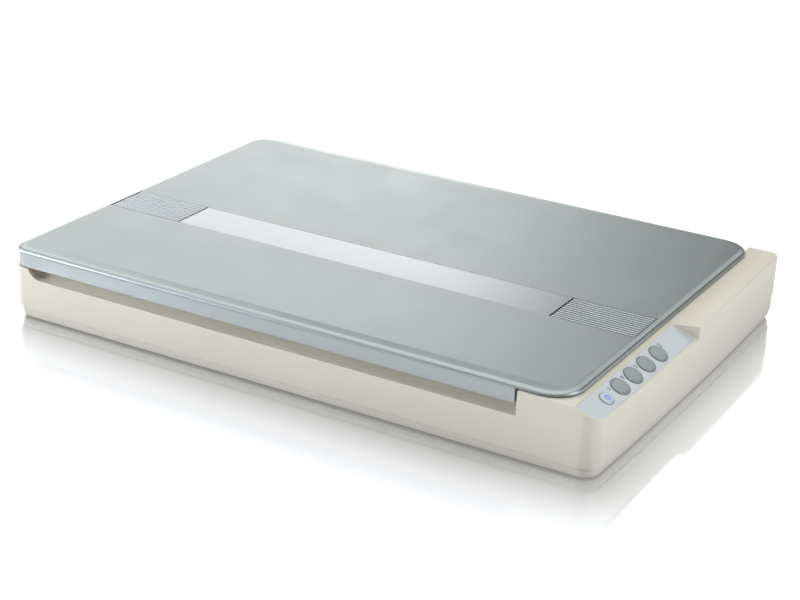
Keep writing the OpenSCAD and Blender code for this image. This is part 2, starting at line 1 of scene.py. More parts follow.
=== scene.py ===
import json
import math
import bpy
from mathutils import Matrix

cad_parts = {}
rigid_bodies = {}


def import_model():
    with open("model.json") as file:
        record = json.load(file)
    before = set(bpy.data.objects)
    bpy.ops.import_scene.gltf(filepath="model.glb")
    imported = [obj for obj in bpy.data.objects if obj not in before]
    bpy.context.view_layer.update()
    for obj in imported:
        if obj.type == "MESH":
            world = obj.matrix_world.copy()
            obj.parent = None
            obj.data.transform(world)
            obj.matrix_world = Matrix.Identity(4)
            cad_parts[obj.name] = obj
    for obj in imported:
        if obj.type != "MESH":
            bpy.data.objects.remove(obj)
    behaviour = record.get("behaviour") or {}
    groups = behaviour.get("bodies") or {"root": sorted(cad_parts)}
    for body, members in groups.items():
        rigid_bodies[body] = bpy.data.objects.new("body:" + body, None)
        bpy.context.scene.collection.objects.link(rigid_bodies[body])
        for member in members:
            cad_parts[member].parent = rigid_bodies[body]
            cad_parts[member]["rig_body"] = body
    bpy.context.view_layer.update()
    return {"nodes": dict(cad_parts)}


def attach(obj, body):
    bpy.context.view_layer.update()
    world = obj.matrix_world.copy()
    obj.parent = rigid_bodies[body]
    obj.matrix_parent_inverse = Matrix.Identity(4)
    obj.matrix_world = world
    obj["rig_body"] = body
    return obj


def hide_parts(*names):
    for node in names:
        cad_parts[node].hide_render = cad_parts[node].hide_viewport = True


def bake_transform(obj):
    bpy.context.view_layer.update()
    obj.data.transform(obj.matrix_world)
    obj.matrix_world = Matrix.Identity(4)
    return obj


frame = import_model()

import bmesh
import bpy
import numpy as np
from mathutils import Matrix, Vector

SCENE = bpy.context.scene
BODY_OF = {n: o["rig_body"] for n, o in frame["nodes"].items()}
RAD = math.radians

# ------------------------------------------------------------------ camera
cam_data = bpy.data.cameras.new("camera")
cam_data.sensor_width = 36.0
cam_data.sensor_fit = "HORIZONTAL"
cam_data.lens = 84.6
cam_data.clip_start, cam_data.clip_end = 0.05, 60.0
camera = bpy.data.objects.new("camera", cam_data)
SCENE.collection.objects.link(camera)
camera.matrix_world = Matrix((
    (0.8633649, -0.2240032, 0.4521323, 0.793158),
    (0.5033014, 0.3185602, -0.8032478, -1.413418),
    (0.0358987, 0.9210548, 0.3877748, 0.696720),
    (0, 0, 0, 1)))
SCENE.camera = camera

# ------------------------------------------------------------------ sizes, in mm
HW, HD = 294.5, 205.0
DECK, BLOCK, SEAM, WALL = 49.3, 62.6, 9.6, 2.6
SLOPE = math.atan(0.5)
PANEL_X, PANEL_Z = 271.0, 62.4
PANEL_U = (281.7 - PANEL_X) / math.cos(SLOPE)
BUTTON_Y = (-140.9, -115.2, -89.1, -63.7)
POWER_Y = -167.3
HINGE_X = (-190.0, 150.0)
CASE_PTS = ((-272, -172), (-272, 172), (0, -176), (30, 176), (256, -140), (262, 60))
FOOT_PTS = ((-258, -168), (-258, 168), (258, -168), (258, 168))
BOARD_PTS = ((248, 100), (279, 100), (248, 178), (279, 178))
LINER_PTS = ((-270, -185), (-270, 160), (0, -185), (0, 165), (205, -185), (205, 165))
ON_PANEL = Matrix.Translation((PANEL_X, 0, PANEL_Z)) @ Matrix.Rotation(SLOPE, 4, "Y")


# ------------------------------------------------------------------ mesh helpers, in mm
def arc(cx, cy, r, a0, n, sweep=90.0):
    return [(cx + r * math.cos(RAD(a0 + sweep * i / n)), cy + r * math.sin(RAD(a0 + sweep * i / n)))
            for i in range(n + 1)]


def lid_plan(d=0.0, n=12):
    x0, x1, y0, y1 = -293.5, 267.0, -204.4, 200.4
    out = []
    for cx, cy, r, a in ((x0 + 13.5, y0 + 13.5, 13.5, 180), (x1 - 28, y0 + 28, 28, 270),
                         (x1 - 29, y1 - 29, 29, 0), (x0 + 23, y1 - 23, 23, 90)):
        out += arc(cx, cy, max(r - d, 0.05), a, n)
    return np.array(out)


def bow(y):
    return 3.0 * ((y + 5) / 200) ** 2


def case_plan(d=0.0, n=12, m=20):
    fx, bx = HW - bow(-HD + 16) - 16, HW - bow(HD - 9) - 9
    out = arc(-HW + 13, -HD + 13, 13 - d, 180, n)
    out += arc(fx, -HD + 16, 16 - d, 270, n)
    for i in range(1, m):
        y = -HD + 16 + i * (2 * HD - 25) / m
        out.append((HW - bow(y) - d, y))
    out += arc(bx, HD - 9, 9 - d, 0, n)
    out += arc(-HW + 24, HD - 24, 24 - d, 90, n)
    return np.array(out)


def normals2(p):
    a, b = p - np.roll(p, 1, 0), np.roll(p, -1, 0) - p
    a /= np.maximum(np.linalg.norm(a, axis=1), 1e-9)[:, None]
    b /= np.maximum(np.linalg.norm(b, axis=1), 1e-9)[:, None]
    t = a + b
    t /= np.linalg.norm(t, axis=1)[:, None]
    return np.stack([t[:, 1], -t[:, 0]], 1)


def at(plan, z):
    return np.column_stack([plan, np.full(len(plan), float(z))])


def smooth01(t):
    t = np.clip(t, 0, 1)
    return t * t * (3 - 2 * t)


def loft(rings, cap0=True, cap1=True):
    bm = bmesh.new()
    vr = [[bm.verts.new(p) for p in r] for r in rings]
    n = len(rings[0])
    for a, b in zip(vr, vr[1:]):
        for i in range(n):
            j = (i + 1) % n
            bm.faces.new((a[i], a[j], b[j], b[i]))
    if cap0:
        bm.faces.new(list(reversed(vr[0])))
    if cap1:
        bm.faces.new(vr[-1])
    return bm


def prism(plan, z0, z1):
    return loft([at(np.array(plan, float), z0), at(np.array(plan, float), z1)])


def box(a, b):
    return prism([(a[0], a[1]), (b[0], a[1]), (b[0], b[1]), (a[0], b[1])], a[2], b[2])


def cyl(x, y, z0, z1, r, n=32):
    return prism([(x + r * math.cos(2 * math.pi * i / n), y + r * math.sin(2 * math.pi * i / n)) for i in range(n)], z0, z1)


def oval(r, ex, n=40):
    """a circle stretched by 2*ex along Y"""
    out = []
    for i in range(n):
        a = 2 * math.pi * (i + 0.5) / n
        out.append((r * math.cos(a), r * math.sin(a) + (ex if math.sin(a) > 0 else -ex)))
    return np.array(out)


def moved(bm, m):
    bmesh.ops.transform(bm, matrix=m, verts=bm.verts)
    return bm


def joined(*bms):
    out = bmesh.new()
    for b in bms:
        me = bpy.data.meshes.new("tmp")
        b.to_mesh(me)
        out.from_mesh(me)
        bpy.data.meshes.remove(me)
        b.free()
    return out


def clip_right(plan, x):
    """the convex outline kept left of x"""
    out = []
    for p, q in zip(plan, np.roll(plan, -1, 0)):
        if p[0] <= x:
            out.append(tuple(p))
        if (p[0] - x) * (q[0] - x) < 0:
            t = (x - p[0]) / (q[0] - p[0])
            out.append((x, p[1] + t * (q[1] - p[1])))
    return np.array(out)


def clip_left(plan, x):
    m = plan * np.array([-1, 1])
    c = clip_right(m[::-1], -x)
    return (c * np.array([-1, 1]))[::-1]


def boolean(bm, other, op="DIFFERENCE"):
    """bm with other taken away, added, or kept in common; both are used up"""
    ma, mb = bpy.data.meshes.new("a"), bpy.data.meshes.new("b")
    bmesh.ops.recalc_face_normals(bm, faces=bm.faces)
    bmesh.ops.recalc_face_normals(other, faces=other.faces)
    bm.to_mesh(ma)
    other.to_mesh(mb)
    bm.free()
    other.free()
    oa, ob = bpy.data.objects.new("a", ma), bpy.data.objects.new("b", mb)
    SCENE.collection.objects.link(oa)
    SCENE.collection.objects.link(ob)
    mod = oa.modifiers.new("b", "BOOLEAN")
    mod.object, mod.operation, mod.solver = ob, op, "EXACT"
    dg = bpy.context.evaluated_depsgraph_get()
    res = bpy.data.meshes.new_from_object(oa.evaluated_get(dg))
    out = bmesh.new()
    out.from_mesh(res)
    for o in (oa, ob):
        bpy.data.objects.remove(o)
    for m in (ma, mb, res):
        bpy.data.meshes.remove(m)
    bmesh.ops.remove_doubles(out, verts=out.verts, dist=1e-3)
    return out


def bevel(bm, pred, w, seg=3, convex=True, angle=24.0):
    bm.edges.ensure_lookup_table()
    picked = []
    for e in bm.edges:
        if len(e.link_faces) != 2 or e.calc_face_angle(0) < RAD(angle):
            continue
        if convex and not e.is_convex:
            continue
        a, b = e.verts[0].co, e.verts[1].co
        if pred(a) and pred(b):
            picked.append(e)
    if picked:
        bmesh.ops.bevel(bm, geom=picked, offset=w, offset_type="OFFSET", segments=seg, profile=0.5,
                        affect="EDGES", clamp_overlap=False)
    return len(picked)


def piece(name, bm, body, mat, nodes=(), sharp=38.0, weighted=True, scale=0.001):
    bmesh.ops.remove_doubles(bm, verts=bm.verts, dist=2e-3)
    bmesh.ops.dissolve_degenerate(bm, dist=1e-3, edges=bm.edges)
    bmesh.ops.recalc_face_normals(bm, faces=bm.faces)
    loose = [v for v in bm.verts if not v.link_faces]
    if loose:
        bmesh.ops.delete(bm, geom=loose, context="VERTS")
    me = bpy.data.meshes.new(name)
    bm.to_mesh(me)
    bm.free()
    me.transform(Matrix.Scale(scale, 4))
    me.polygons.foreach_set("use_smooth", [True] * len(me.polygons))
    me.set_sharp_from_angle(angle=RAD(sharp))
    me.materials.append(mat)
    o = bpy.data.objects.new(name, me)
    SCENE.collection.objects.link(o)
    if weighted:
        m = o.modifiers.new("normals", "WEIGHTED_NORMAL")
        m.keep_sharp = True
        m.weight = 100
    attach(o, body)
    if nodes:
        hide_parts(*nodes)
    return o


def refine(node, mat, w=0.25, seg=2, sharp=38.0, limit=35.0):
    """the CAD node's own shape, with flat faces made whole and its hard edges rounded"""
    bm = bmesh.new()
    bm.from_mesh(frame["nodes"][node].data)
    bmesh.ops.transform(bm, matrix=Matrix.Scale(1000, 4), verts=bm.verts)
    bmesh.ops.remove_doubles(bm, verts=bm.verts, dist=5e-4)
    bmesh.ops.dissolve_limit(bm, angle_limit=RAD(0.6), verts=bm.verts, edges=bm.edges, delimit={"NORMAL"})
    if w > 0:
        picked = [e for e in bm.edges if len(e.link_faces) == 2 and e.is_convex and e.calc_face_angle(0) > RAD(limit)
                  and e.calc_length() > w * 2.2]
        if picked:
            bmesh.ops.bevel(bm, geom=picked, offset=w, offset_type="OFFSET", segments=seg, profile=0.5,
                            affect="EDGES", clamp_overlap=True)
    return piece(node + "_visual", bm, BODY_OF[node], mat, (node,), sharp=sharp)


def tube(path, r, n=10, closed=False):
    """round wire along a list of points"""
    p = np.array(path, float)
    t = np.gradient(p, axis=0)
    t /= np.linalg.norm(t, axis=1)[:, None]
    ref = np.array([0.0, 0.0, 1.0]) if abs(t[0][2]) < 0.9 else np.array([1.0, 0.0, 0.0])
    u = np.cross(t[0], ref)
    u /= np.linalg.norm(u)
    rings = []
    for i in range(len(p)):
        u = u - (u @ t[i]) * t[i]
        u /= np.linalg.norm(u)
        v = np.cross(t[i], u)
        rings.append([p[i] + r * (math.cos(2 * math.pi * j / n) * u + math.sin(2 * math.pi * j / n) * v) for j in range(n)])
    return loft(rings)


def coil_path(r, turns, h, wire, dead=0.75, seg=28):
    """a spring with closed end turns"""
    n = int(turns * seg)
    out = []
    for i in range(n + 1):
        f = i / n * turns
        mid = max(turns - 2 * dead, 0.2)
        g = min(max((f - dead) / mid, 0.0), 1.0)
        lift = h - 2 * wire * 2 * dead
        z = min(f, dead) * 2 * wire + g * lift + max(f - turns + dead, 0) * 2 * wire
        a = 2 * math.pi * f
        out.append((r * math.cos(a), r * math.sin(a), z))
    return out


# ------------------------------------------------------------------ materials
class Nodes:
    def __init__(self, name):
        self.m = bpy.data.materials.new(name)
        self.m.use_nodes = True
        self.t = self.m.node_tree
        self.bsdf = self.t.nodes["Principled BSDF"]
        self.co = self.t.nodes.new("ShaderNodeTexCoord").outputs["Object"]

    def new(self, kind, **props):
        n = self.t.nodes.new(kind)
        for k, v in props.items():
            setattr(n, k, v)
        return n

    def link(self, a, b):
        self.t.links.new(a, b)

    def mapped(self, scale):
        n = self.new("ShaderNodeMapping")
        self.link(self.co, n.inputs["Vector"])
        n.inputs["Scale"].default_value = scale
        return n.outputs["Vector"]

    def noise(self, scale, detail=3.0, rough=0.55, vec=None):
        n = self.new("ShaderNodeTexNoise")
        self.link(vec or self.co, n.inputs["Vector"])
        n.inputs["Scale"].default_value = scale
        n.inputs["Detail"].default_value = detail
        n.inputs["Roughness"].default_value = rough
        return n.outputs["Fac"]

    def ramp(self, fac, stops):
        n = self.new("ShaderNodeValToRGB")
        self.link(fac, n.inputs["Fac"])
        r = n.color_ramp
        while len(r.elements) < len(stops):
            r.elements.new(0.5)
        for el, (p, c) in zip(r.elements, stops):
            el.position = p
            el.color = (*c, 1) if len(c) == 3 else c
        return n.outputs["Color"]

    def range(self, fac, a, b, lo=0.0, hi=1.0):
        n = self.new("ShaderNodeMapRange")
        self.link(fac, n.inputs["Value"])
        for k, v in zip(("From Min", "From Max", "To Min", "To Max"), (lo, hi, a, b)):
            n.inputs[k].default_value = v
        return n.outputs["Result"]

    def mix(self, fac, a, b, blend="MIX"):
        n = self.new("ShaderNodeMix", data_type="RGBA", blend_type=blend)
        if isinstance(fac, float):
            n.inputs[0].default_value = fac
        else:
            self.link(fac, n.inputs[0])
        for i, v in ((6, a), (7, b)):
            if isinstance(v, tuple):
                n.inputs[i].default_value = (*v, 1) if len(v) == 3 else v
            else:
                self.link(v, n.inputs[i])
        return n.outputs[2]

    def add_bump(self, height, strength, dist, prev=None):
        n = self.new("ShaderNodeBump")
        self.link(height, n.inputs["Height"])
        n.inputs["Strength"].default_value = strength
        n.inputs["Distance"].default_value = dist
        if prev is not None:
            self.link(prev, n.inputs["Normal"])
        return n.outputs["Normal"]

    def out(self, color=None, rough=None, normal=None, **sockets):
        if color is not None:
            self.link(color, self.bsdf.inputs["Base Color"])
        if rough is not None:
            self.link(rough, self.bsdf.inputs["Roughness"])
        if normal is not None:
            self.link(normal, self.bsdf.inputs["Normal"])
        for k, v in sockets.items():
            self.bsdf.inputs[k.replace("_", " ")].default_value = v
        return self.m


def shade(c, f):
    return tuple(min(max(x * f, 0.0), 1.0) for x in c)


def srgb(r, g, b):
    return tuple((x / 255 / 12.92) if x / 255 <= 0.04045 else ((x / 255 + 0.055) / 1.055) ** 2.4 for x in (r, g, b))


def plastic(name, base, rough=0.5, grain=2600.0, bump=0.25, depth=0.00006, var=0.035, spec=0.4, **extra):
    """moulded plastic: spark-eroded grain, faint cloudiness and slow gloss change"""
    n = Nodes(name)
    cloud = n.noise(9.0, 4.0)
    fine = n.noise(grain, 2.0)
    col = n.ramp(cloud, ((0.3, shade(base, 1 - var)), (0.7, shade(base, 1 + var))))
    col = n.mix(0.06, col, n.ramp(fine, ((0.35, shade(base, 0.7)), (0.65, shade(base, 1.15)))))
    r = n.range(n.noise(35.0, 3.0), rough - 0.05, rough + 0.05, 0.3, 0.7)
    nor = n.add_bump(fine, bump, depth)
    nor = n.add_bump(n.noise(14.0, 1.0), 0.25, 0.00012, nor)
    return n.out(col, r, nor, Specular_IOR_Level=spec, **extra)


def metal(name, base, rough=0.3, stretch=(60.0, 5200.0, 5200.0), bump=0.12, **extra):
    """drawn or brushed metal"""
    n = Nodes(name)
    vec = n.mapped(stretch)
    streak = n.noise(1.0, 3.0, vec=vec)
    cloud = n.noise(30.0, 3.0)
    col = n.mix(0.5, n.ramp(streak, ((0.3, shade(base, 0.8)), (0.7, shade(base, 1.1)))),
                n.ramp(cloud, ((0.3, shade(base, 0.9)), (0.7, base))))
    r = n.range(streak, rough - 0.08, rough + 0.1, 0.3, 0.7)
    return n.out(col, r, n.add_bump(streak, bump, 0.00003), Metallic=1.0, **extra)


def m_case():
    return plastic("case_ivory_plastic", srgb(221, 216, 199), rough=0.52, grain=2100.0, bump=0.3, depth=0.00008, var=0.02)


def m_lid():
    n = Nodes("lid_silver_paint")
    base = srgb(172, 179, 178)
    flake = n.new("ShaderNodeTexVoronoi")
    n.link(n.co, flake.inputs["Vector"])
    flake.inputs["Scale"].default_value = 3800.0
    cloud = n.noise(5.0, 4.0)
    fine = n.noise(1500.0, 2.0)
    col = n.ramp(cloud, ((0.3, shade(base, 0.975)), (0.7, shade(base, 1.02))))
    col = n.mix(0.10, col, n.ramp(flake.outputs["Distance"], ((0.0, shade(base, 1.35)), (0.6, shade(base, 0.75)))))
    r = n.range(n.noise(22.0, 4.0), 0.33, 0.39, 0.3, 0.7)
    nor = n.add_bump(fine, 0.10, 0.00004)
    nor = n.add_bump(n.noise(7.0, 1.0), 0.15, 0.0002, nor)
    return n.out(col, r, nor, Metallic=0.7, Specular_IOR_Level=0.5)


def m_stripe():
    n = Nodes("stripe_bright_silver")
    base = srgb(172, 174, 178)
    vec = n.mapped((12.0, 2600.0, 2600.0))
    streak = n.noise(1.0, 2.0, vec=vec)
    col = n.ramp(streak, ((0.3, shade(base, 0.992)), (0.7, shade(base, 1.008))))
    r = n.range(streak, 0.185, 0.205, 0.3, 0.7)
    return n.out(col, r, n.add_bump(streak, 0.01, 0.00001), Metallic=0.95)


def m_grip():
    """ribbed silver plastic with painted shade in the grooves and a painted highlight on the rib tops"""
    n = Nodes("grip_silver_plastic")
    xyz = n.new("ShaderNodeSeparateXYZ")
    n.link(n.co, xyz.inputs[0])
    # painted shade and highlight: colour runs from deep grey in the grooves to bright on the rib tops, set by height
    # alone
    height = n.range(xyz.outputs["Z"], 0.0, 1.0, 0.0678, 0.0685)
    col = n.ramp(height, ((0.0, srgb(122, 128, 128)), (0.5, srgb(158, 164, 164)), (0.9, srgb(196, 202, 202))))
    col = n.mix(0.05, col, n.ramp(n.noise(1800.0, 2.0), ((0.3, srgb(150, 156, 156)), (0.7, srgb(190, 196, 196)))))
    return n.out(col, n.range(n.noise(30.0, 3.0), 0.36, 0.42, 0.3, 0.7), n.add_bump(n.noise(9.0, 1.0), 0.1, 0.0001), Metallic=0.6)


def m_overlay():
    n = Nodes("panel_silver_film")
    base = srgb(202, 209, 211)
    fine = n.noise(2600.0, 2.0)
    cloud = n.noise(16.0, 3.0)
    col = n.ramp(cloud, ((0.3, shade(base, 0.97)), (0.7, shade(base, 1.03))))
    col = n.mix(0.06, col, n.ramp(fine, ((0.3, shade(base, 0.8)), (0.7, shade(base, 1.15)))))
    r = n.range(cloud, 0.30, 0.38, 0.3, 0.7)
    return n.out(col, r, n.add_bump(fine, 0.10, 0.00003), Metallic=0.25)


def m_pcb():
    n = Nodes("circuit_board")
    vec = n.mapped((1.0, 1.0, 0.0))
    brick = n.new("ShaderNodeTexBrick")
    n.link(vec, brick.inputs["Vector"])
    brick.inputs["Scale"].default_value = 260.0
    brick.inputs["Mortar Size"].default_value = 0.055
    brick.inputs["Mortar Smooth"].default_value = 0.0
    brick.inputs["Color1"].default_value = (*srgb(24, 92, 52), 1)
    brick.inputs["Color2"].default_value = (*srgb(28, 102, 58), 1)
    brick.inputs["Mortar"].default_value = (*srgb(52, 138, 84), 1)
    pads = n.new("ShaderNodeTexVoronoi")
    n.link(vec, pads.inputs["Vector"])
    pads.inputs["Scale"].default_value = 330.0
    pads.inputs["Randomness"].default_value = 0.85
    pad = n.range(pads.outputs["Distance"], 1.0, 0.0, 0.16, 0.2)
    col = n.mix(pad, brick.outputs["Color"], srgb(196, 184, 140))
    r = n.range(n.noise(60.0, 2.0), 0.3, 0.42)
    return n.out(col, r, n.add_bump(brick.outputs["Fac"], 0.3, 0.00004))


def m_foam():
    n = Nodes("white_foam")
    v = n.new("ShaderNodeTexVoronoi")
    n.link(n.co, v.inputs["Vector"])
    v.inputs["Scale"].default_value = 1100.0
    col = n.ramp(v.outputs["Distance"], ((0.0, srgb(214, 214, 208)), (0.55, srgb(240, 240, 236))))
    nor = n.add_bump(v.outputs["Distance"], 0.5, 0.0002)
    return n.out(col, n.range(n.noise(80.0, 2.0), 0.82, 0.92), nor)


def m_film():
    n = Nodes("white_backing_film")
    col = n.ramp(n.noise(18.0, 3.0), ((0.3, srgb(238, 238, 235)), (0.7, srgb(246, 246, 244))))
    nor = n.add_bump(n.noise(1200.0, 2.0), 0.12, 0.00004)
    return n.out(col, n.range(n.noise(40.0, 2.0), 0.34, 0.42), nor)


def m_glass(name, tint, rough=0.02):
    n = Nodes(name)
    col = n.ramp(n.noise(6.0, 2.0), ((0.2, tint), (0.8, shade(tint, 1.01))))
    r = n.range(n.noise(45.0, 4.0), rough, rough + 0.015, 0.4, 0.8)
    return n.out(col, r, n.add_bump(n.noise(3.0, 1.0), 0.02, 0.0002), Transmission_Weight=1.0, IOR=1.52)


def m_ribbon():
    n = Nodes("flat_cable")
    vec = n.mapped((0.0, 1000.0, 0.0))
    wave = n.new("ShaderNodeTexWave", wave_type="BANDS", bands_direction="Y")
    n.link(vec, wave.inputs["Vector"])
    wave.inputs["Scale"].default_value = 0.314
    line = n.ramp(wave.outputs["Fac"], ((0.35, srgb(236, 236, 230)), (0.6, srgb(190, 192, 190))))
    col = n.mix(0.25, line, n.ramp(n.noise(50.0, 2.0), ((0.3, srgb(225, 226, 220)), (0.7, srgb(240, 240, 236)))))
    return n.out(col, n.range(n.noise(30.0, 2.0), 0.32, 0.44), n.add_bump(wave.outputs["Fac"], 0.4, 0.00006))


def m_rubber(name, base, rough=0.8):
    n = Nodes(name)
    fine = n.noise(1800.0, 3.0)
    col = n.ramp(n.noise(120.0, 4.0), ((0.3, shade(base, 0.8)), (0.7, shade(base, 1.25))))
    return n.out(col, n.range(fine, rough - 0.08, rough + 0.08, 0.3, 0.7), n.add_bump(fine, 0.4, 0.00008))


def m_icon_light():
    n = Nodes("lit_symbol")
    col = n.ramp(n.noise(900.0, 2.0), ((0.3, srgb(4, 60, 168)), (0.7, srgb(10, 84, 200))))
    n.out(col, n.range(n.noise(300.0, 2.0), 0.3, 0.4), n.add_bump(n.noise(800.0), 0.1, 0.00003))
    n.bsdf.inputs["Emission Color"].default_value = (*srgb(0, 112, 240), 1)
    n.bsdf.inputs["Emission Strength"].default_value = 0.6
    return n.m


MAT = {
    "case": m_case(),
    "tray": plastic("tray_ivory_plastic", srgb(224, 219, 204), rough=0.56, grain=1700.0, bump=0.35, depth=0.0001, var=0.02),
    "lid": m_lid(),
    "liner": plastic("lid_liner_plastic", srgb(226, 224, 216), rough=0.5, grain=2300.0, bump=0.3),
    "pad": m_foam(),
    "backing": m_film(),
    "stripe": m_stripe(),
    "grip": m_grip(),
    "glass": m_glass("platen_glass", (0.93, 0.97, 0.95)),
    "white": plastic("white_strip", srgb(240, 240, 236), rough=0.6, bump=0.1),
    "rubber": m_rubber("foot_rubber", srgb(48, 48, 50)),
    "steel": metal("steel", srgb(176, 180, 184), rough=0.3),
    "black": plastic("black_plastic", srgb(30, 31, 33), rough=0.5, var=0.08),
    "grey": plastic("grey_plastic", srgb(74, 78, 82), rough=0.5, var=0.06),
    "post": plastic("post_plastic", srgb(206, 201, 188), rough=0.5),
    "overlay": m_overlay(),
    "key": plastic("key_satin", srgb(152, 159, 157), rough=0.34, grain=3200.0, bump=0.12, depth=0.00004, Metallic=0.25),
    "keypower": plastic("power_key_satin", srgb(196, 203, 210), rough=0.32, grain=3200.0, bump=0.12, depth=0.00004, Metallic=0.3),
    "icon": m_icon_light(),
    "pcb": m_pcb(),
    "chip": plastic("chip_epoxy", srgb(34, 35, 38), rough=0.45, grain=4000.0, var=0.1),
    "port": metal("port_shell", srgb(188, 190, 194), rough=0.28, stretch=(900.0, 900.0, 900.0)),
    "rod": metal("ground_rod", srgb(200, 203, 206), rough=0.16, stretch=(5200.0, 300.0, 300.0), bump=0.05),
    "bronze": metal("sintered_bronze", srgb(168, 122, 68), rough=0.42, stretch=(1500.0, 1500.0, 1500.0)),
    "lens": plastic("lens_array", srgb(58, 78, 98), rough=0.12, grain=900.0, bump=0.35, depth=0.0002),
    "guide": m_glass("light_guide", (0.86, 0.93, 0.99), rough=0.06),
    "gear": plastic("acetal_gear", srgb(232, 228, 214), rough=0.38, grain=2800.0, bump=0.12),
    "brass": metal("brass", srgb(196, 160, 82), rough=0.28, stretch=(800.0, 800.0, 3000.0)),
    "belt": m_rubber("belt_rubber", srgb(30, 30, 32), rough=0.7),
    "ribbon": m_ribbon(),
    "motor": metal("motor_can", srgb(160, 164, 168), rough=0.34, stretch=(700.0, 700.0, 2600.0)),
    # this ink also makes the painted shadow strips beside the grips
    "ink": plastic("printed_ink_and_painted_shadow", srgb(44, 48, 54), rough=0.45, bump=0.05),
}


# ------------------------------------------------------------------ case
def pulled(plan, z):
    """the plan with the case's tucked-in left foot line and the relief at its rear right corner"""
    nrm = normals2(plan)
    left = np.clip(-nrm[:, 0], 0, 1) ** 1.3
    e_left = float(np.interp(z, (1.5, 9.6, 11.0, 13.0, 15.0, 16.8), (3.6, 3.3, 2.6, 1.3, 0.35, 0.0)))
    rear = np.clip(nrm[:, 1], 0, 1) ** 0.7 * smooth01((plan[:, 0] - 276.5) / 3.0)
    e_rear = float(np.interp(z, (24.3, 24.9, 25.1), (3.4, 0.35, 0.0)))
    return plan - nrm * (left * e_left + rear * e_rear)[:, None]


def panel_cut(t):
    m = Matrix.Translation((PANEL_X, 0, PANEL_Z)) @ Matrix.Rotation(SLOPE, 4, "Y")
    slab = moved(box((-40, -230, -t), (80, 30, 60 - t)), m)
    x = PANEL_X - t * 0.3
    wedge = prism([(x, -230), (310, -230), (310, 2.3 + t), (x, -12 + t)], 30, 90)
    return boolean(slab, wedge, "INTERSECT")


def scoop(t, x1):
    rings = []
    for i in range(17):
        a = math.pi / 2 * (i + 0.02) / 16.02
        rings.append((-262 - (14.5 + t) * math.cos(a), (14.5 + t) * math.sin(a)))
    rings.append((x1, 14.5 + t))
    return loft([[(x, -201.2 + r * math.cos(2 * math.pi * j / 96), 54.3 + r * math.sin(2 * math.pi * j / 96))
                  for j in range(96)] for x, r in rings])


def make_upper_case():
    end = 221.5
    rings = [at(pulled(case_plan(0.35), 9.6), 9.6), at(pulled(case_plan(0.05), 9.6), 9.9), at(pulled(case_plan(0), 10.0), 10.2)]
    for z in (11.0, 12.0, 13.0, 14.0, 15.0, 16.0, 16.8, 20.0):
        rings.append(at(pulled(case_plan(0), z), z))
    rings.append(at(pulled(case_plan(0), 24.2), 24.4))
    rings.append(at(pulled(case_plan(0), 24.9), 24.9))
    rings.append(at(case_plan(0), 25.2))
    r = 1.5
    rings.append(at(case_plan(0), BLOCK - r))
    for i in range(1, 6):
        a = RAD(18 * i)
        rings.append(at(case_plan(r * (1 - math.cos(a))), BLOCK - r + r * math.sin(a)))
    s = loft(rings)
    s = boolean(s, box((-300, -210, DECK), (end, 210, 80)))
    s = boolean(s, panel_cut(0))
    s = boolean(s, scoop(0, end))
    s = boolean(s, box((-HW - 1, 186, 46.3), (261.2, HD + 1, 80)))
    bmesh.ops.dissolve_limit(s, angle_limit=RAD(0.02), verts=s.verts, edges=s.edges)
    # rounded edges of the outside
    on_end = lambda v: abs(v.x - end) < 0.02 and v.z > 38
    bevel(s, on_end, 0.9, 4)
    bevel(s, lambda v: abs(v.z - DECK) < 0.02 and v.x < end - 1.2, 0.6, 3)
    inv = ON_PANEL.inverted()
    cut = Vector((14.3, -39.0)).normalized()
    bevel(s, lambda v: abs((v.x - PANEL_X) * cut.x + (v.y + 12) * cut.y) < 0.03 and v.z > 48, 0.45, 3)
    bevel(s, lambda v: abs((inv @ v).z) < 0.03 and v.y < -4 and v.x > PANEL_X - 0.1, 0.5, 3, angle=20)
    # the front lip of the scoop
    bevel(s, lambda v: abs(v.y + HD) < 6 and 36 < v.z < DECK - 1.5 and v.x < end - 1.2
          and abs(math.hypot(v.y + 201.2, v.z - 54.3) - 14.5) < 0.05, 0.55, 3)
    return s


def case_cavity():
    c = loft([at(pulled(case_plan(WALL), z), z) for z in (8.0, 9.6, 11.0, 12.0, 13.0, 14.0, 15.0, 16.8, 20.0, 24.2)]
             + [at(case_plan(WALL), 26.0), at(case_plan(WALL), BLOCK - WALL)])
    c = boolean(c, box((-300, -210, DECK - WALL), (221.5 + WALL, 210, 80)))
    c = boolean(c, box((200, -210, DECK - WALL), (247, 210, DECK)))
    c = boolean(c, panel_cut(WALL))
    c = boolean(c, scoop(WALL, 221.5 + WALL))
    return boolean(c, box((-HW - 1, 186 - WALL, 46.3 - WALL), (261.2 + WALL, HD + 1, 80)))


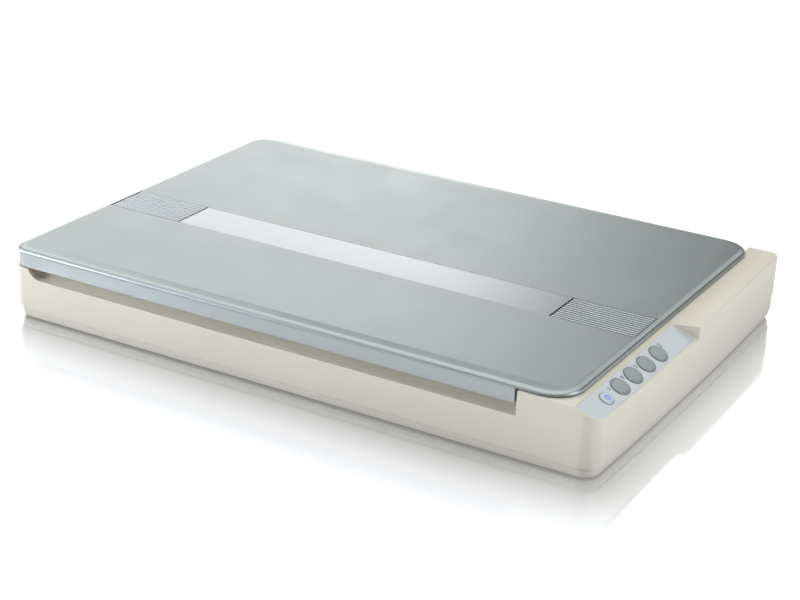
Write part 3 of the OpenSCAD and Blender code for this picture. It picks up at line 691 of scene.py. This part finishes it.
def upper_case():
    s = make_upper_case()
    s = boolean(s, case_cavity())
    for x, y in CASE_PTS:
        b = cyl(x, y, 6, 60.5 if x > 240 else 47, 4.2, 28)
        s = boolean(s, b, "UNION")
    # window with a rounded upper lip, reference strip pocket
    w = loft([at(np.array([(-231 - d, -150.5 - d), (205 + d, -150.5 - d), (205 + d, 150.5 + d), (-231 - d, 150.5 + d)]), z)
              for d, z in ((0, 40), (0, 48.2), (0.12, 48.7), (0.45, 49.12), (1.0, 49.32), (1.0, 55))])
    s = boolean(s, w)
    s = boolean(s, box((207.5, -153, 46), (220.5, 153, 47.2)))
    for x, y in CASE_PTS:
        s = boolean(s, cyl(x, y, 5, 27, 1.3, 20))
    for x in HINGE_X:
        s = boolean(s, box((x - 12.4, 186.7, 40), (x + 12.4, 199.3, 55)))
    g = 0.12
    sheet = moved(box((1.0 - g, -230, -0.5), (23.2 + g, 30, 4)), ON_PANEL)
    sheet = boolean(sheet, prism(case_plan(1.6 - g), 20, 80), "INTERSECT")
    sheet = boolean(sheet, prism([(200, -203.6 - g), (310, -203.6 - g), (310, 0.9 + g), (PANEL_X, -13.4 + g), (200, -13.4 + g)], 20, 80), "INTERSECT")
    s = boolean(s, sheet)
    for y in BUTTON_Y:
        s = boolean(s, moved(prism(oval(8.85, 1.1), -8, 4), ON_PANEL @ Matrix.Translation((PANEL_U, y, 0))))
    s = boolean(s, moved(prism(oval(6.55, 0.7), -8, 4), ON_PANEL @ Matrix.Translation((PANEL_U, POWER_Y, 0))))
    for x0, x1 in ((249.6, 262.4), (265.6, 275.4)):
        s = boolean(s, box((x0, HD - 6, 9), (x1, HD + 1, 21.9)))
    piece("upper_case_visual", s, "base", MAT["case"], ("upper_case",), sharp=32)


def lower_case():
    outer = ((5.0, 1.5), (3.2, 1.52), (2.7, 1.7), (2.35, 2.1), (1.9, 3.6), (1.3, 6.0), (0.95, 8.0), (0.8, 9.0), (0.95, 9.25), (1.3, 9.3),
             (2.85, 9.3), (2.85, 11.4), (3.05, 11.6), (4.3, 11.6), (4.5, 11.4), (4.5, 4.6), (5.1, 4.0))
    s = loft([at(pulled(case_plan(d), z), z) for d, z in outer])
    for p in FOOT_PTS:
        s = boolean(s, cyl(p[0], p[1], 1, 2.3, 9.2, 48))
    for y in (-167.5, 166):
        s = boolean(s, box((-240, y, 3.9), (230, y + 1.5, 7)), "UNION")
    for x, y in CASE_PTS:
        s = boolean(s, cyl(x, y, 3.9, 5.6, 5.2, 32), "UNION")
        s = boolean(s, cyl(x, y, 0, 8, 1.8, 24))
        s = boolean(s, cyl(x, y, 0, 3.6, 3.6, 32))
    for x, y in BOARD_PTS:
        s = boolean(s, cyl(x, y, 3.9, 9, 3, 28), "UNION")
        s = boolean(s, cyl(x, y, 4.2, 10.2, 1, 16))
    s = boolean(s, box((249, 198, 9.3), (276, 203, 13)))
    for i in range(10):
        plan = np.array(arc(255.7 + i * 3, -59.3, 0.7, 180, 8, 180) + arc(255.7 + i * 3, -20.7, 0.7, 0, 8, 180))
        s = boolean(s, prism(plan, 1, 5))
    piece("lower_case_visual", s, "base", MAT["tray"], ("lower_case",), sharp=32)


# ------------------------------------------------------------------ lid
def lid_edge():
    """rolled edge of the lid: (distance from the outline, height)"""
    prof = []
    for i in range(1, 13):
        a = RAD(6.6 * i)
        prof.append((7.0 - 7.0 * math.cos(a), 63.8 + 3.95 * math.sin(a)))
    return prof + [(7.0, 67.83), (8.2, 68.0), (9.5, 68.17), (10.8, 68.32), (12.1, 68.44), (13.3, 68.5)]


def edge_ring(d, z):
    """ring of the rolled edge, half as wide at the left and right sides"""
    p = lid_plan(0, 14)
    inward = lid_plan(1, 14) - p
    return at(p + inward * (d * (0.5 + 0.5 * inward[:, 1] ** 2))[:, None], z)


def lid_shell():
    prof = [(1.6, 50.0), (1.0, 50.12), (0.72, 50.45), (0.62, 50.9), (0.6, 56.0), (0.6, 62.5), (0.5, 62.95), (0.12, 63.4), (0.0, 63.8)]
    s = loft([at(lid_plan(d, 14), z) for d, z in prof] + [edge_ring(d, z) for d, z in lid_edge()])
    s = boolean(s, box((219, -210, 45), (280, 210, 63.2)))
    inner, roof = lid_plan(2.2, 14), lid_plan(4.4, 14)
    bevel(s, lambda v: (abs(v.x - 219) < 0.02 and v.z < 63.1) or (abs(v.z - 50) < 0.02 and v.x > 215), 0.45, 3)
    bevel(s, lambda v: abs(v.z - 63.2) < 0.02 and v.x > 219.5, 0.35, 3)
    s = boolean(s, prism(clip_right(inner, 216.8), 49, 64.6))
    s = boolean(s, prism(clip_right(roof, 216.8), 60, 66))
    s = boolean(s, prism(clip_left(inner, 219), 62.2, 64.6))
    s = boolean(s, prism(clip_left(roof, 219), 62.2, 66))
    s = boolean(s, box((-288.2, -68.6, 67.2), (262, -20.2, 70)))
    # relieved lower edge of the thin right flange
    relief = boolean(loft([at(lid_plan(-1, 14), 62.9), at(lid_plan(-1, 14), 64.15)]),
                     loft([at(lid_plan(1.6, 14), 62.8), at(lid_plan(1.6, 14), 63.25), at(lid_plan(0.04, 14), 64.2)]))
    s = boolean(s, boolean(relief, box((219.6, -215, 60), (280, 215, 70)), "INTERSECT"))
    for x in HINGE_X:
        s = boolean(s, box((x - 17, 190, 40), (x + 17, 205, 66)))
    for x in (-250, -120, 100, 225):
        s = boolean(s, cyl(x, -44.5, 60, 69, 2.1, 24))
    for x, y in LINER_PTS:
        s = boolean(s, cyl(x, y, 53.1, 66.1, 4, 28), "UNION")
        s = boolean(s, cyl(x, y, 50, 62.1, 1.2, 16))
    for x in HINGE_X:
        for d in (-6.5, 6.5):
            s = boolean(s, cyl(x + d, 178, 64.2, 66.2, 3, 24), "UNION")
            s = boolean(s, cyl(x + d, 178, 63, 65.4, 1.1, 16))
    piece("lid_shell_visual", s, "lid", MAT["lid"], ("lid_shell",), sharp=30)


def slab(x0, x1, y0, y1, z0, z1, r, w, seg=4, n=6):
    """flat slab with plan radius r and top edge rounding w"""
    def plan(d):
        out = []
        for cx, cy, a in ((x0 + r, y0 + r, 180), (x1 - r, y0 + r, 270), (x1 - r, y1 - r, 0), (x0 + r, y1 - r, 90)):
            out += arc(cx, cy, max(r - d, 0.02), a, n)
        return np.array(out)
    rings = [at(plan(0), z0), at(plan(0), z1 - w)]
    for i in range(1, seg + 1):
        a = math.pi / 2 * i / seg
        rings.append(at(plan(w * (1 - math.cos(a))), z1 - w + w * math.sin(a)))
    return loft(rings)


def lid_stripe():
    s = slab(-206.8, 181.8, -68.4, -20.4, 67.2, 68.5, 0.6, 0.3)
    for x in (-120, 100):
        s = boolean(s, cyl(x, -44.5, 65.7, 67.4, 2, 24), "UNION")
    piece("lid_stripe_visual", s, "lid", MAT["stripe"], ("lid_stripe",), sharp=30)


def grip(name, x0, x1, px, slope_left):
    """ribbed insert: rounded ribs along X whose ends run out"""
    y0, y1, n = -68.4, -20.4, 11
    ys, zs = [y0, y0, y0 + 0.25, y0 + 1.15], [67.2, 67.55, 67.75, 67.78]
    for i in range(n):
        a, b = -66.95 + i * 4.22, -64.35 + i * 4.22
        prof = ((a, 67.78), (a + 0.12, 68.12), (a + 0.36, 68.36), (a + 0.75, 68.48), ((a + b) / 2, 68.5),
                (b - 0.75, 68.48), (b - 0.36, 68.36), (b - 0.12, 68.12), (b, 67.78))
        ys += [p[0] for p in prof]
        zs += [p[1] for p in prof]
    ys += [y1 - 1.05, y1 - 0.9, y1 - 0.2, y1, y1]
    zs += [67.78, 68.38, 68.44, 68.3, 67.2]
    ys, zs = np.array(ys), np.array(zs)
    xs = [x0, x0 + 0.3, x0 + 0.9, x0 + 1.05, x0 + 1.35, x0 + 1.9, x0 + 2.8, x0 + 4.2, x0 + 6.0, x0 + 8.0,
          x1 - 8.0, x1 - 6.0, x1 - 4.2, x1 - 2.8, x1 - 1.9, x1 - 1.35, x1 - 1.05, x1 - 0.9, x1 - 0.3, x1]
    lift = [0.0, 0.0, 0.0, 0.35, 0.7, 0.92, 1.0, 1.0, 1.0, 1.0, 1.0, 1.0, 1.0, 1.0, 0.92, 0.7, 0.35, 0.0, 0.0, 0.0]
    rings = []
    for x, f in zip(xs, lift):
        z = np.where(zs > 67.78, 67.78 + (zs - 67.78) * f, zs)
        z = np.minimum(z, np.interp(2 * min(x + 293.5, 267.0 - x), *zip(*lid_edge())))
        rings.append([(x, y, h) for y, h in zip(ys, z)])
    s = loft(rings)
    s = boolean(s, cyl(px, -44.5, 65.7, 67.4, 2, 24), "UNION")
    piece(name + "_visual", s, "lid", MAT["grip"], (name,), sharp=40)
    # a thin black strip along the front edge and the end next to the stripe: painted shadow standing in for the shade
    # in the gap
    e = x1 - 0.75 if slope_left else x0 + 0.15
    painted_shadow_strip = joined(box((x0 + 1.2, y0 + 0.05, 67.5), (x1 - 1.2, y0 + 0.75, 68.3 + 0.1)),
                  box((e, y0 + 0.75, 67.5), (e + 0.6, y1 - 1.1, 68.36)))
    piece(name + "_seal", painted_shadow_strip, "lid", MAT["ink"], sharp=30, weighted=False)


def lid_inside():
    plan = clip_right(lid_plan(2.5, 14), 216.5)
    s = loft([at(plan, 51.0), at(plan, 53.0)])
    bevel(s, lambda v: abs(v.z - 51) < 0.01, 0.5, 3)
    for x in HINGE_X:
        s = boolean(s, box((x - 17.5, 170, 40), (x + 17.5, 205, 66)))
    for x, y in LINER_PTS:
        s = boolean(s, cyl(x, y, 50, 56, 1.7, 20))
        s = boolean(s, cyl(x, y, 50, 51.9, 3.3, 28))
    # shallow frame pressed into the cover around the pad
    s = boolean(s, boolean(box((-234, -154.5, 50.5), (208, 154.5, 51.25)), box((-231.5, -152, 50), (205.5, 152, 52))))
    piece("lid_liner_visual", s, "lid", MAT["liner"], ("lid_liner",), sharp=30)
    plan = clip_left(lid_plan(2.5, 14), 219.3)
    s = loft([at(plan, 63.8), at(plan, 65.4)])
    bevel(s, lambda v: abs(v.z - 63.8) < 0.01, 0.4, 3)
    piece("lid_flange_liner_visual", s, "lid", MAT["liner"], ("lid_flange_liner",), sharp=30)
    # foam pad: crowned slab, edges drawn in a little between the corners
    x0, x1, y0, y1, nx, ny = -228.0, 202.0, -148.5, 148.5, 86, 60
    bm = bmesh.new()

    def grid(zf, inset):
        rows = []
        for j in range(ny + 1):
            row = []
            for i in range(nx + 1):
                u, v = i / nx * 2 - 1, j / ny * 2 - 1
                px, py = x0 + (x1 - x0) * i / nx, y0 + (y1 - y0) * j / ny
                edge = min(i, nx - i) == 0 or min(j, ny - j) == 0
                pin = 0.5 * (1 - u * u) * (abs(v) == 1) + 0.5 * (1 - v * v) * (abs(u) == 1)
                if edge:
                    px -= (inset + pin * 0.5) * (u if abs(u) == 1 else 0)
                    py -= (inset + pin * 0.5) * (v if abs(v) == 1 else 0)
                row.append(bm.verts.new((px, py, zf(u, v, edge))))
            rows.append(row)
        return rows

    top = grid(lambda u, v, e: 51.0 if not e else 50.75, 0.15)
    low = grid(lambda u, v, e: (47.56 + 0.06 * math.sin(9 * u) * math.sin(7 * v)) if not e else 48.0, 0.15)
    for j in range(ny):
        for i in range(nx):
            bm.faces.new((top[j][i], top[j][i + 1], top[j + 1][i + 1], top[j + 1][i]))
            bm.faces.new((low[j][i], low[j + 1][i], low[j + 1][i + 1], low[j][i + 1]))
    rim = lambda g: [g[0][i] for i in range(nx + 1)] + [g[j][nx] for j in range(1, ny + 1)] + \
        [g[ny][i] for i in range(nx - 1, -1, -1)] + [g[j][0] for j in range(ny - 1, 0, -1)]
    a, b = rim(low), rim(top)
    for i in range(len(a)):
        j = (i + 1) % len(a)
        bm.faces.new((a[i], a[j], b[j], b[i]))
    o = piece("lid_pad_visual", bm, "lid", MAT["pad"], ("lid_pad",), sharp=70, weighted=False)
    s = loft([at(p, z) for p, z in ((np.array(oval_rect(-228, 202, -148.5, 148.5, 3, 0.25)), 47.1), (np.array(oval_rect(-228, 202, -148.5, 148.5, 3, 0.0)), 47.22),
                                    (np.array(oval_rect(-228, 202, -148.5, 148.5, 3, 0.0)), 47.42), (np.array(oval_rect(-228, 202, -148.5, 148.5, 3, 0.1)), 47.5))])
    piece("lid_backing_visual", s, "lid", MAT["backing"], ("lid_backing",), sharp=50)


def oval_rect(x0, x1, y0, y1, r, d, n=6):
    out = []
    for cx, cy, a in ((x0 + r, y0 + r, 180), (x1 - r, y0 + r, 270), (x1 - r, y1 - r, 0), (x0 + r, y1 - r, 90)):
        out += arc(cx, cy, r - d, a, n)
    return out


# ------------------------------------------------------------------ control panel
def panel():
    refine("panel_overlay", MAT["overlay"], w=0.12, seg=2, limit=50)

    def key(name, y, r, ex, mat, slot, crown):
        prof = [(-1.3, -5.0), (-1.3, -3.75), (-1.15, -3.6), (0.0, -3.6), (0.0, 0.6), (0.05, 0.78), (0.18, 0.92), (0.42, 1.05), (0.8, 1.22),
                (1.14, 1.37), (1.32, 1.44), (1.6, 1.49)]
        rings = [at(oval(r - d, ex, 56), z) for d, z in prof]
        for f in (0.72, 0.5, 0.28, 0.08):
            k = oval(r - 1.6, ex, 56) * f
            rings.append(at(k, 1.49 + (crown - 1.49) * (1 - f * f)))
        s = loft(rings)
        s = joined(s)
        stem = prism([(1.8 * math.cos(2 * math.pi * i / 24), 1.8 * math.sin(2 * math.pi * i / 24)) for i in range(24)], -6.2, -4.8)
        s = boolean(s, stem, "UNION")
        return s

    for i, y in enumerate(BUTTON_Y):
        s = key("button", y, 8.5, 1.1, None, None, 1.6)
        moved(s, ON_PANEL @ Matrix.Translation((PANEL_U, y, 0)))
        piece(f"button_{i + 1}_visual", s, f"key_{i + 1}", MAT["key"], (f"button_{i + 1}",), sharp=50)
    s = key("power", POWER_Y, 6.2, 0.7, None, None, 1.58)

    def ring_bar(z0, z1, g):
        outer, inner = 2.7 + g, 1.9 - g
        gap = math.asin(min(1, (0.9 - g) / outer))
        plan = []
        for k in range(33):
            a = math.pi + gap + (2 * math.pi - 2 * gap) * k / 32
            plan.append((outer * math.cos(a), outer * math.sin(a)))
        gi = math.asin(min(1, (0.9 - g) / inner))
        for k in range(32, -1, -1):
            a = math.pi + gi + (2 * math.pi - 2 * gi) * k / 32
            plan.append((inner * math.cos(a), inner * math.sin(a)))
        bar = prism([(-2.9 - g, -0.35 - g), (-0.3 + g, -0.35 - g), (-0.3 + g, 0.35 + g), (-2.9 - g, 0.35 + g)], z0, z1)
        return prism(plan, z0, z1), bar

    a, b = ring_bar(0.9, 3, 0.03)
    s = boolean(boolean(s, a), b)
    moved(s, ON_PANEL @ Matrix.Translation((PANEL_U, POWER_Y, 0)))
    piece("power_button_visual", s, "key_power", MAT["keypower"], ("power_button",), sharp=50)
    a, b = ring_bar(0.93, 1.585, 0.0)
    bevel(a, lambda v: v.z > 1.5, 0.08, 2)
    bevel(b, lambda v: v.z > 1.5, 0.08, 2)
    s = moved(joined(a, b), ON_PANEL @ Matrix.Translation((PANEL_U, POWER_Y, 0)))
    piece("power_icon_visual", s, "key_power", MAT["icon"], ("power_icon",), sharp=40)

    # generic pictograms printed beside the keys
    def frame_rect(x0, y0, x1, y1, t):
        o = prism([(x0, y0), (x1, y0), (x1, y1), (x0, y1)], 0, 0.05)
        i = prism([(x0 + t, y0 + t), (x1 - t, y0 + t), (x1 - t, y1 - t), (x0 + t, y1 - t)], -1, 1)
        return boolean(o, i)

    def bar(x0, y0, x1, y1):
        return prism([(x0, y0), (x1, y0), (x1, y1), (x0, y1)], 0, 0.05)

    def line(x0, y0, x1, y1, t):
        d = Vector((x1 - x0, y1 - y0)).normalized()
        p = Vector((-d.y, d.x)) * t / 2
        return prism([(x0 - p.x, y0 - p.y), (x1 - p.x, y1 - p.y), (x1 + p.x, y1 + p.y), (x0 + p.x, y0 + p.y)], 0, 0.05)

    icons = {
        # a bed with a scan line
        "scan": [frame_rect(-2.2, -1.3, 2.2, 1.3, 0.32), bar(-1.6, -0.16, 1.6, 0.16)],
        # an envelope
        "envelope": [frame_rect(-2.1, -1.25, 2.1, 1.25, 0.32), line(-1.9, 1.0, 0, -0.25, 0.3), line(0, -0.25, 1.9, 1.0, 0.3)],
        # rows of text
        "rows": [bar(-2.0, 0.85, 2.0, 1.2), bar(-2.0, 0.1, 1.2, 0.45), bar(-2.0, -0.65, 2.0, -0.3), bar(-2.0, -1.4, 0.6, -1.05)],
        # a page
        "page": [frame_rect(-1.3, -1.5, 1.3, 1.5, 0.3), bar(-0.7, 0.45, 0.7, 0.7), bar(-0.7, -0.2, 0.7, 0.05)],
    }
    spots = {"scan": -51.6, "envelope": -102.2, "rows": -128.0, "page": -154.0}
    for k, parts in icons.items():
        s = parts[0]
        for q in parts[1:]:
            s = boolean(s, q, "UNION")
        u = (277.6 - PANEL_X) / math.cos(SLOPE)
        moved(s, ON_PANEL @ Matrix.Translation((u, spots[k], 0.0)))
        piece(f"pictogram_{k}", s, "base", MAT["ink"], sharp=40, weighted=False)


# ------------------------------------------------------------------ small moulded and metal parts
def feet():
    parts = []
    for x, y in FOOT_PTS:
        rings = []
        for r, z in ((6.2, 0.28), (6.6, 0.0), (7.9, 0.0), (8.35, 0.18), (8.6, 0.6), (8.75, 1.1), (9.0, 1.35), (9.0, 2.05), (8.75, 2.3)):
            rings.append([(x + r * math.cos(2 * math.pi * j / 56), y + r * math.sin(2 * math.pi * j / 56), z) for j in range(56)])
        parts.append(loft(rings))
    piece("rubber_feet_visual", joined(*parts), "base", MAT["rubber"], ("rubber_feet",), sharp=50)


def belt():
    """toothed loop: flat back outside, trapezoid teeth inside"""
    dx, ix, by, ri, t = -270.0, 252.0, -23.0, 6.8, 0.9
    straight, half = ix - dx, math.pi * ri
    total = 2 * straight + 2 * half
    count = 535
    pitch = total / count

    def point(s, off):
        s = s % total
        if s < straight:
            return dx + s, by - ri - off
        s -= straight
        if s < half:
            a = -math.pi / 2 + s / ri
            return ix + (ri + off) * math.cos(a), by + (ri + off) * math.sin(a)
        s -= half
        if s < straight:
            return ix - s, by + ri + off
        s -= straight
        a = math.pi / 2 + s / ri
        return dx + (ri + off) * math.cos(a), by + (ri + off) * math.sin(a)

    inner, outer = [], []
    for i in range(count):
        s0 = i * pitch
        for f, off in ((0.0, 0.32), (0.44, 0.32), (0.56, 0.0), (0.88, 0.0)):
            inner.append(point(s0 + f * pitch, off))
            outer.append(point(s0 + f * pitch, t))
    z0, z1 = 14.0, 20.0
    bm = bmesh.new()
    cols = []
    for (xi, yi), (xo, yo) in zip(inner, outer):
        cols.append([bm.verts.new(p) for p in ((xi, yi, z0), (xo, yo, z0), (xo, yo, z1), (xi, yi, z1))])
    n = len(cols)
    for i in range(n):
        a, b = cols[i], cols[(i + 1) % n]
        for k in range(4):
            m = (k + 1) % 4
            bm.faces.new((a[k], b[k], b[m], a[m]))
    piece("timing_belt_visual", bm, "base", MAT["belt"], ("timing_belt",), sharp=25, weighted=False)


def springs():
    parts = []
    for s in (-1, 1):
        parts.append(moved(tube(coil_path(3.4, 3, 4.5, 0.45, 0.5), 0.45, 12), Matrix.Translation((222, s * 150, 26))))
    piece("cis_springs_visual", joined(*parts), "carriage", MAT["steel"], ("cis_springs",), sharp=60, weighted=False)
    m = Matrix.Translation((266.6, -23, 9)) @ Matrix.Rotation(math.pi / 2, 4, "Y")
    s = moved(tube(coil_path(2.4, 9, 16, 0.4, 0.9), 0.4, 12), m)
    piece("tensioner_spring_visual", s, "base", MAT["steel"], ("tensioner_spring",), sharp=60, weighted=False)


def ribbon():
    """the free stretch of the flat cable, from the tray to the carriage"""
    n, m = 96, 4
    top, low = [], []
    bm = bmesh.new()
    grid = []
    for i in range(n + 1):
        t = i / n
        x = -4 + t * 207
        z = 4.7 + 20.5 * (t * t * (3 - 2 * t))
        row = []
        for j in range(m + 1):
            y = 102.0 + 16.0 * j / m
            row.append((bm.verts.new((x, y, z)), bm.verts.new((x, y, z + 0.28))))
        grid.append(row)
    for i in range(n):
        for j in range(m):
            a, b, c, d = grid[i][j], grid[i + 1][j], grid[i + 1][j + 1], grid[i][j + 1]
            bm.faces.new((a[1], b[1], c[1], d[1]))
            bm.faces.new((a[0], d[0], c[0], b[0]))
        for j in (0, m):
            a, b = grid[i][j], grid[i + 1][j]
            bm.faces.new((a[0], b[0], b[1], a[1]) if j == 0 else (a[1], b[1], b[0], a[0]))
    for i in (0, n):
        for j in range(m):
            a, d = grid[i][j], grid[i][j + 1]
            bm.faces.new((a[1], d[1], d[0], a[0]) if i == 0 else (a[0], d[0], d[1], a[1]))
    bmesh.ops.recalc_face_normals(bm, faces=bm.faces)
    me = bpy.data.meshes.new("ffc_moving_visual")
    bm.to_mesh(me)
    bm.free()
    me.transform(Matrix.Scale(0.001, 4))
    me.polygons.foreach_set("use_smooth", [True] * len(me.polygons))
    me.set_sharp_from_angle(angle=RAD(40))
    me.materials.append(MAT["ribbon"])
    o = bpy.data.objects.new("ffc_moving_visual", me)
    SCENE.collection.objects.link(o)
    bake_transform(o)
    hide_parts("ffc_moving")


upper_case()
lower_case()
lid_shell()
lid_stripe()
grip("lid_grip_left", -288.0, -207.2, -250, True)
grip("lid_grip_right", 182.2, 261.8, 225, False)
lid_inside()
panel()
feet()
belt()
springs()
ribbon()

REFINED = {
    "platen_glass": ("glass", 0.3), "calibration_strip": ("white", 0.08), "case_screws": ("steel", 0.15),
    "lid_screws": ("steel", 0.12), "hinge_sockets": ("grey", 0.4), "hinge_posts": ("post", 0.5), "hinge_pins": ("steel", 0.3),
    "hinge_leaves": ("steel", 0.2), "button_board": ("pcb", 0.1), "panel_switches": ("black", 0.2), "main_board": ("pcb", 0.1),
    "board_chips": ("chip", 0.2), "board_screws": ("steel", 0.12), "usb_port": ("port", 0.2), "dc_jack": ("black", 0.3),
    "guide_rod": ("rod", 0.4), "rod_supports": ("grey", 0.4), "carriage_frame": ("black", 0.4), "carriage_bushings": ("bronze", 0.25),
    "cis_housing": ("black", 0.3), "cis_cover_glass": ("glass", 0.15), "rod_lens_array": ("lens", 0.1), "light_guide": ("guide", 0.2),
    "cis_board": ("pcb", 0.1), "cis_spacers": ("white", 0.2), "belt_clamp": ("grey", 0.3), "drive_pulley": ("gear", 0.12),
    "drive_gear": ("gear", 0.1), "drive_shaft": ("steel", 0.2), "reduction_gear": ("gear", 0.1), "motor_body": ("motor", 0.4),
    "motor_shaft": ("steel", 0.2), "motor_pinion": ("brass", 0.08), "motor_bracket": ("steel", 0.2), "idler_pulley": ("gear", 0.12),
    "tensioner_bracket": ("steel", 0.2), "home_sensor": ("black", 0.3), "ffc_fixed": ("ribbon", 0.05),
}
for node, (key_, width) in REFINED.items():
    refine(node, MAT[key_], w=width)

# ------------------------------------------------------------------ floor and light
def floor():
    bm = bmesh.new()
    bmesh.ops.create_grid(bm, x_segments=2, y_segments=2, size=9.0)
    me = bpy.data.meshes.new("floor")
    bm.to_mesh(me)
    bm.free()
    o = bpy.data.objects.new("floor", me)
    SCENE.collection.objects.link(o)
    n = Nodes("floor_white")
    col = n.ramp(n.noise(2.0, 2.0), ((0.3, (0.86, 0.86, 0.86)), (0.7, (0.88, 0.88, 0.88))))
    # the sheen and a painted contact shadow fade with the distance from the object's outline
    p = n.co
    for op, v in (("ABSOLUTE", None), ("SUBTRACT", (0.29, 0.20, 0.0)), ("MAXIMUM", (0.0, 0.0, 0.0)), ("MULTIPLY", (1.0, 1.0, 0.0))):
        q = n.new("ShaderNodeVectorMath", operation=op)
        n.link(p, q.inputs[0])
        if v is not None:
            q.inputs[1].default_value = v
        p = q.outputs["Vector"]
    q = n.new("ShaderNodeVectorMath", operation="LENGTH")
    n.link(p, q.inputs[0])
    fade = n.new("ShaderNodeMath", operation="POWER")
    n.link(n.range(q.outputs["Value"], 1.0, 0.0, 0.0, 0.15), fade.inputs[0])
    fade.inputs[1].default_value = 2.0
    # painted contact shadow: near the object the floor colour is mixed towards black, more on the left than on the
    # right
    xyz = n.new("ShaderNodeSeparateXYZ")
    n.link(n.co, xyz.inputs[0])
    painted_contact_shadow = n.new("ShaderNodeMath", operation="MULTIPLY")
    n.link(fade.outputs[0], painted_contact_shadow.inputs[0])
    n.link(n.range(xyz.outputs["X"], 0.45, 0.2, 0.2, 0.36), painted_contact_shadow.inputs[1])
    col = n.mix(painted_contact_shadow.outputs[0], col, (0.0, 0.0, 0.0))
    n.out(col, n.range(n.noise(3.0, 2.0), 0.10, 0.13), None, Specular_IOR_Level=0.0)
    n.link(n.range(fade.outputs[0], 0.0, 0.88), n.bsdf.inputs["Metallic"])
    n.bsdf.inputs["Emission Color"].default_value = (1, 1, 1, 1)
    n.bsdf.inputs["Emission Strength"].default_value = 0.14
    me.materials.append(n.m)
    return o


def area(name, at_, to, size, power, color=(1, 1, 1), size_y=None, spread=180):
    d = bpy.data.lights.new(name, "AREA")
    d.shape = "RECTANGLE"
    d.size, d.size_y = size, size_y or size
    d.energy = power
    d.color = color
    d.spread = RAD(spread)
    o = bpy.data.objects.new(name, d)
    SCENE.collection.objects.link(o)
    o.location = at_
    o.rotation_mode = "QUATERNION"
    o.rotation_quaternion = (Vector(to) - Vector(at_)).to_track_quat("-Z", "Y")
    return o


def sky():
    """studio sky: soft cards as bands of heading (degrees left of +Y) and height"""
    world = bpy.data.worlds.new("studio")
    SCENE.world = world
    world.use_nodes = True
    t = world.node_tree

    def new(kind, **kw):
        n = t.nodes.new(kind)
        for k, v in kw.items():
            setattr(n, k, v)
        return n

    def math_(op, a, b):
        n = new("ShaderNodeMath", operation=op)
        for sock, v in zip(n.inputs, (a, b)):
            if isinstance(v, (int, float)):
                sock.default_value = v
            else:
                t.links.new(v, sock)
        return n.outputs[0]

    def step(v, lo, hi, a, b):
        n = new("ShaderNodeMapRange", interpolation_type="SMOOTHSTEP")
        t.links.new(v, n.inputs["Value"])
        for k, x in zip(("From Min", "From Max", "To Min", "To Max"), (lo, hi, a, b)):
            n.inputs[k].default_value = x
        return n.outputs["Result"]

    def band(v, stops):
        n = new("ShaderNodeValToRGB")
        t.links.new(v, n.inputs["Fac"])
        els = n.color_ramp.elements
        while len(els) < len(stops):
            els.new(0.5)
        for el, (deg, x) in zip(els, stops):
            el.position = (deg + 180) / 360
            el.color = (x, x, x, 1)
        return n.outputs["Color"]

    co = new("ShaderNodeTexCoord")
    xyz = new("ShaderNodeSeparateXYZ")
    t.links.new(co.outputs["Generated"], xyz.inputs[0])
    head = math_("ARCTAN2", math_("MULTIPLY", xyz.outputs["X"], -1.0), xyz.outputs["Y"])
    turn = math_("ADD", math_("DIVIDE", head, 2 * math.pi), 0.5)
    z = xyz.outputs["Z"]
    low = math_("MULTIPLY", band(turn, ((-180, 0), (20, 0), (28, 0.91), (38, 0.69), (55, 0), (180, 0))), step(z, 0.30, 0.52, 1, 0))
    mid = math_("MULTIPLY", band(turn, ((-180, 0), (-30, 0), (0, 0.68), (12, 0), (38, 0), (55, 0.99), (85, 0), (180, 0))),
                math_("MULTIPLY", step(z, 0.30, 0.52, 0, 1), step(z, 0.62, 0.9, 1, 0)))
    top = step(z, 0.62, 0.9, 0, 0.50)
    back = t.nodes["Background"]
    t.links.new(math_("ADD", math_("ADD", low, mid), top), back.inputs["Color"])
    back.inputs["Strength"].default_value = 3.0


FLOOR = floor()
sky()
# a card that only the floor sees, so that its sheen is white around the object
card = area("floor_card", (-1.9, 3.3, 0.9), (0.0, 0.0, 0.3), 6.0, 142, size_y=2.6)
only = bpy.data.collections.new("floor_only")
only.objects.link(FLOOR)
card.light_linking.receiver_collection = only
COOL = (0.93, 0.98, 1.1)
area("left_front", (-1.3, -0.45, 0.35), (0, -0.15, 0.03), 0.6, 2.6, COOL)
area("left_mid", (-1.6, -1.2, 0.6), (0, -0.1, 0.03), 0.8, 25, COOL)
area("right_near", (1.0, -0.1, 0.33), (0.29, -0.1, 0.03), 0.45, 2.1, COOL)
SCENE.view_settings.view_transform = "Standard"
SCENE.view_settings.look = "None"
SCENE.view_settings.exposure = 0.0
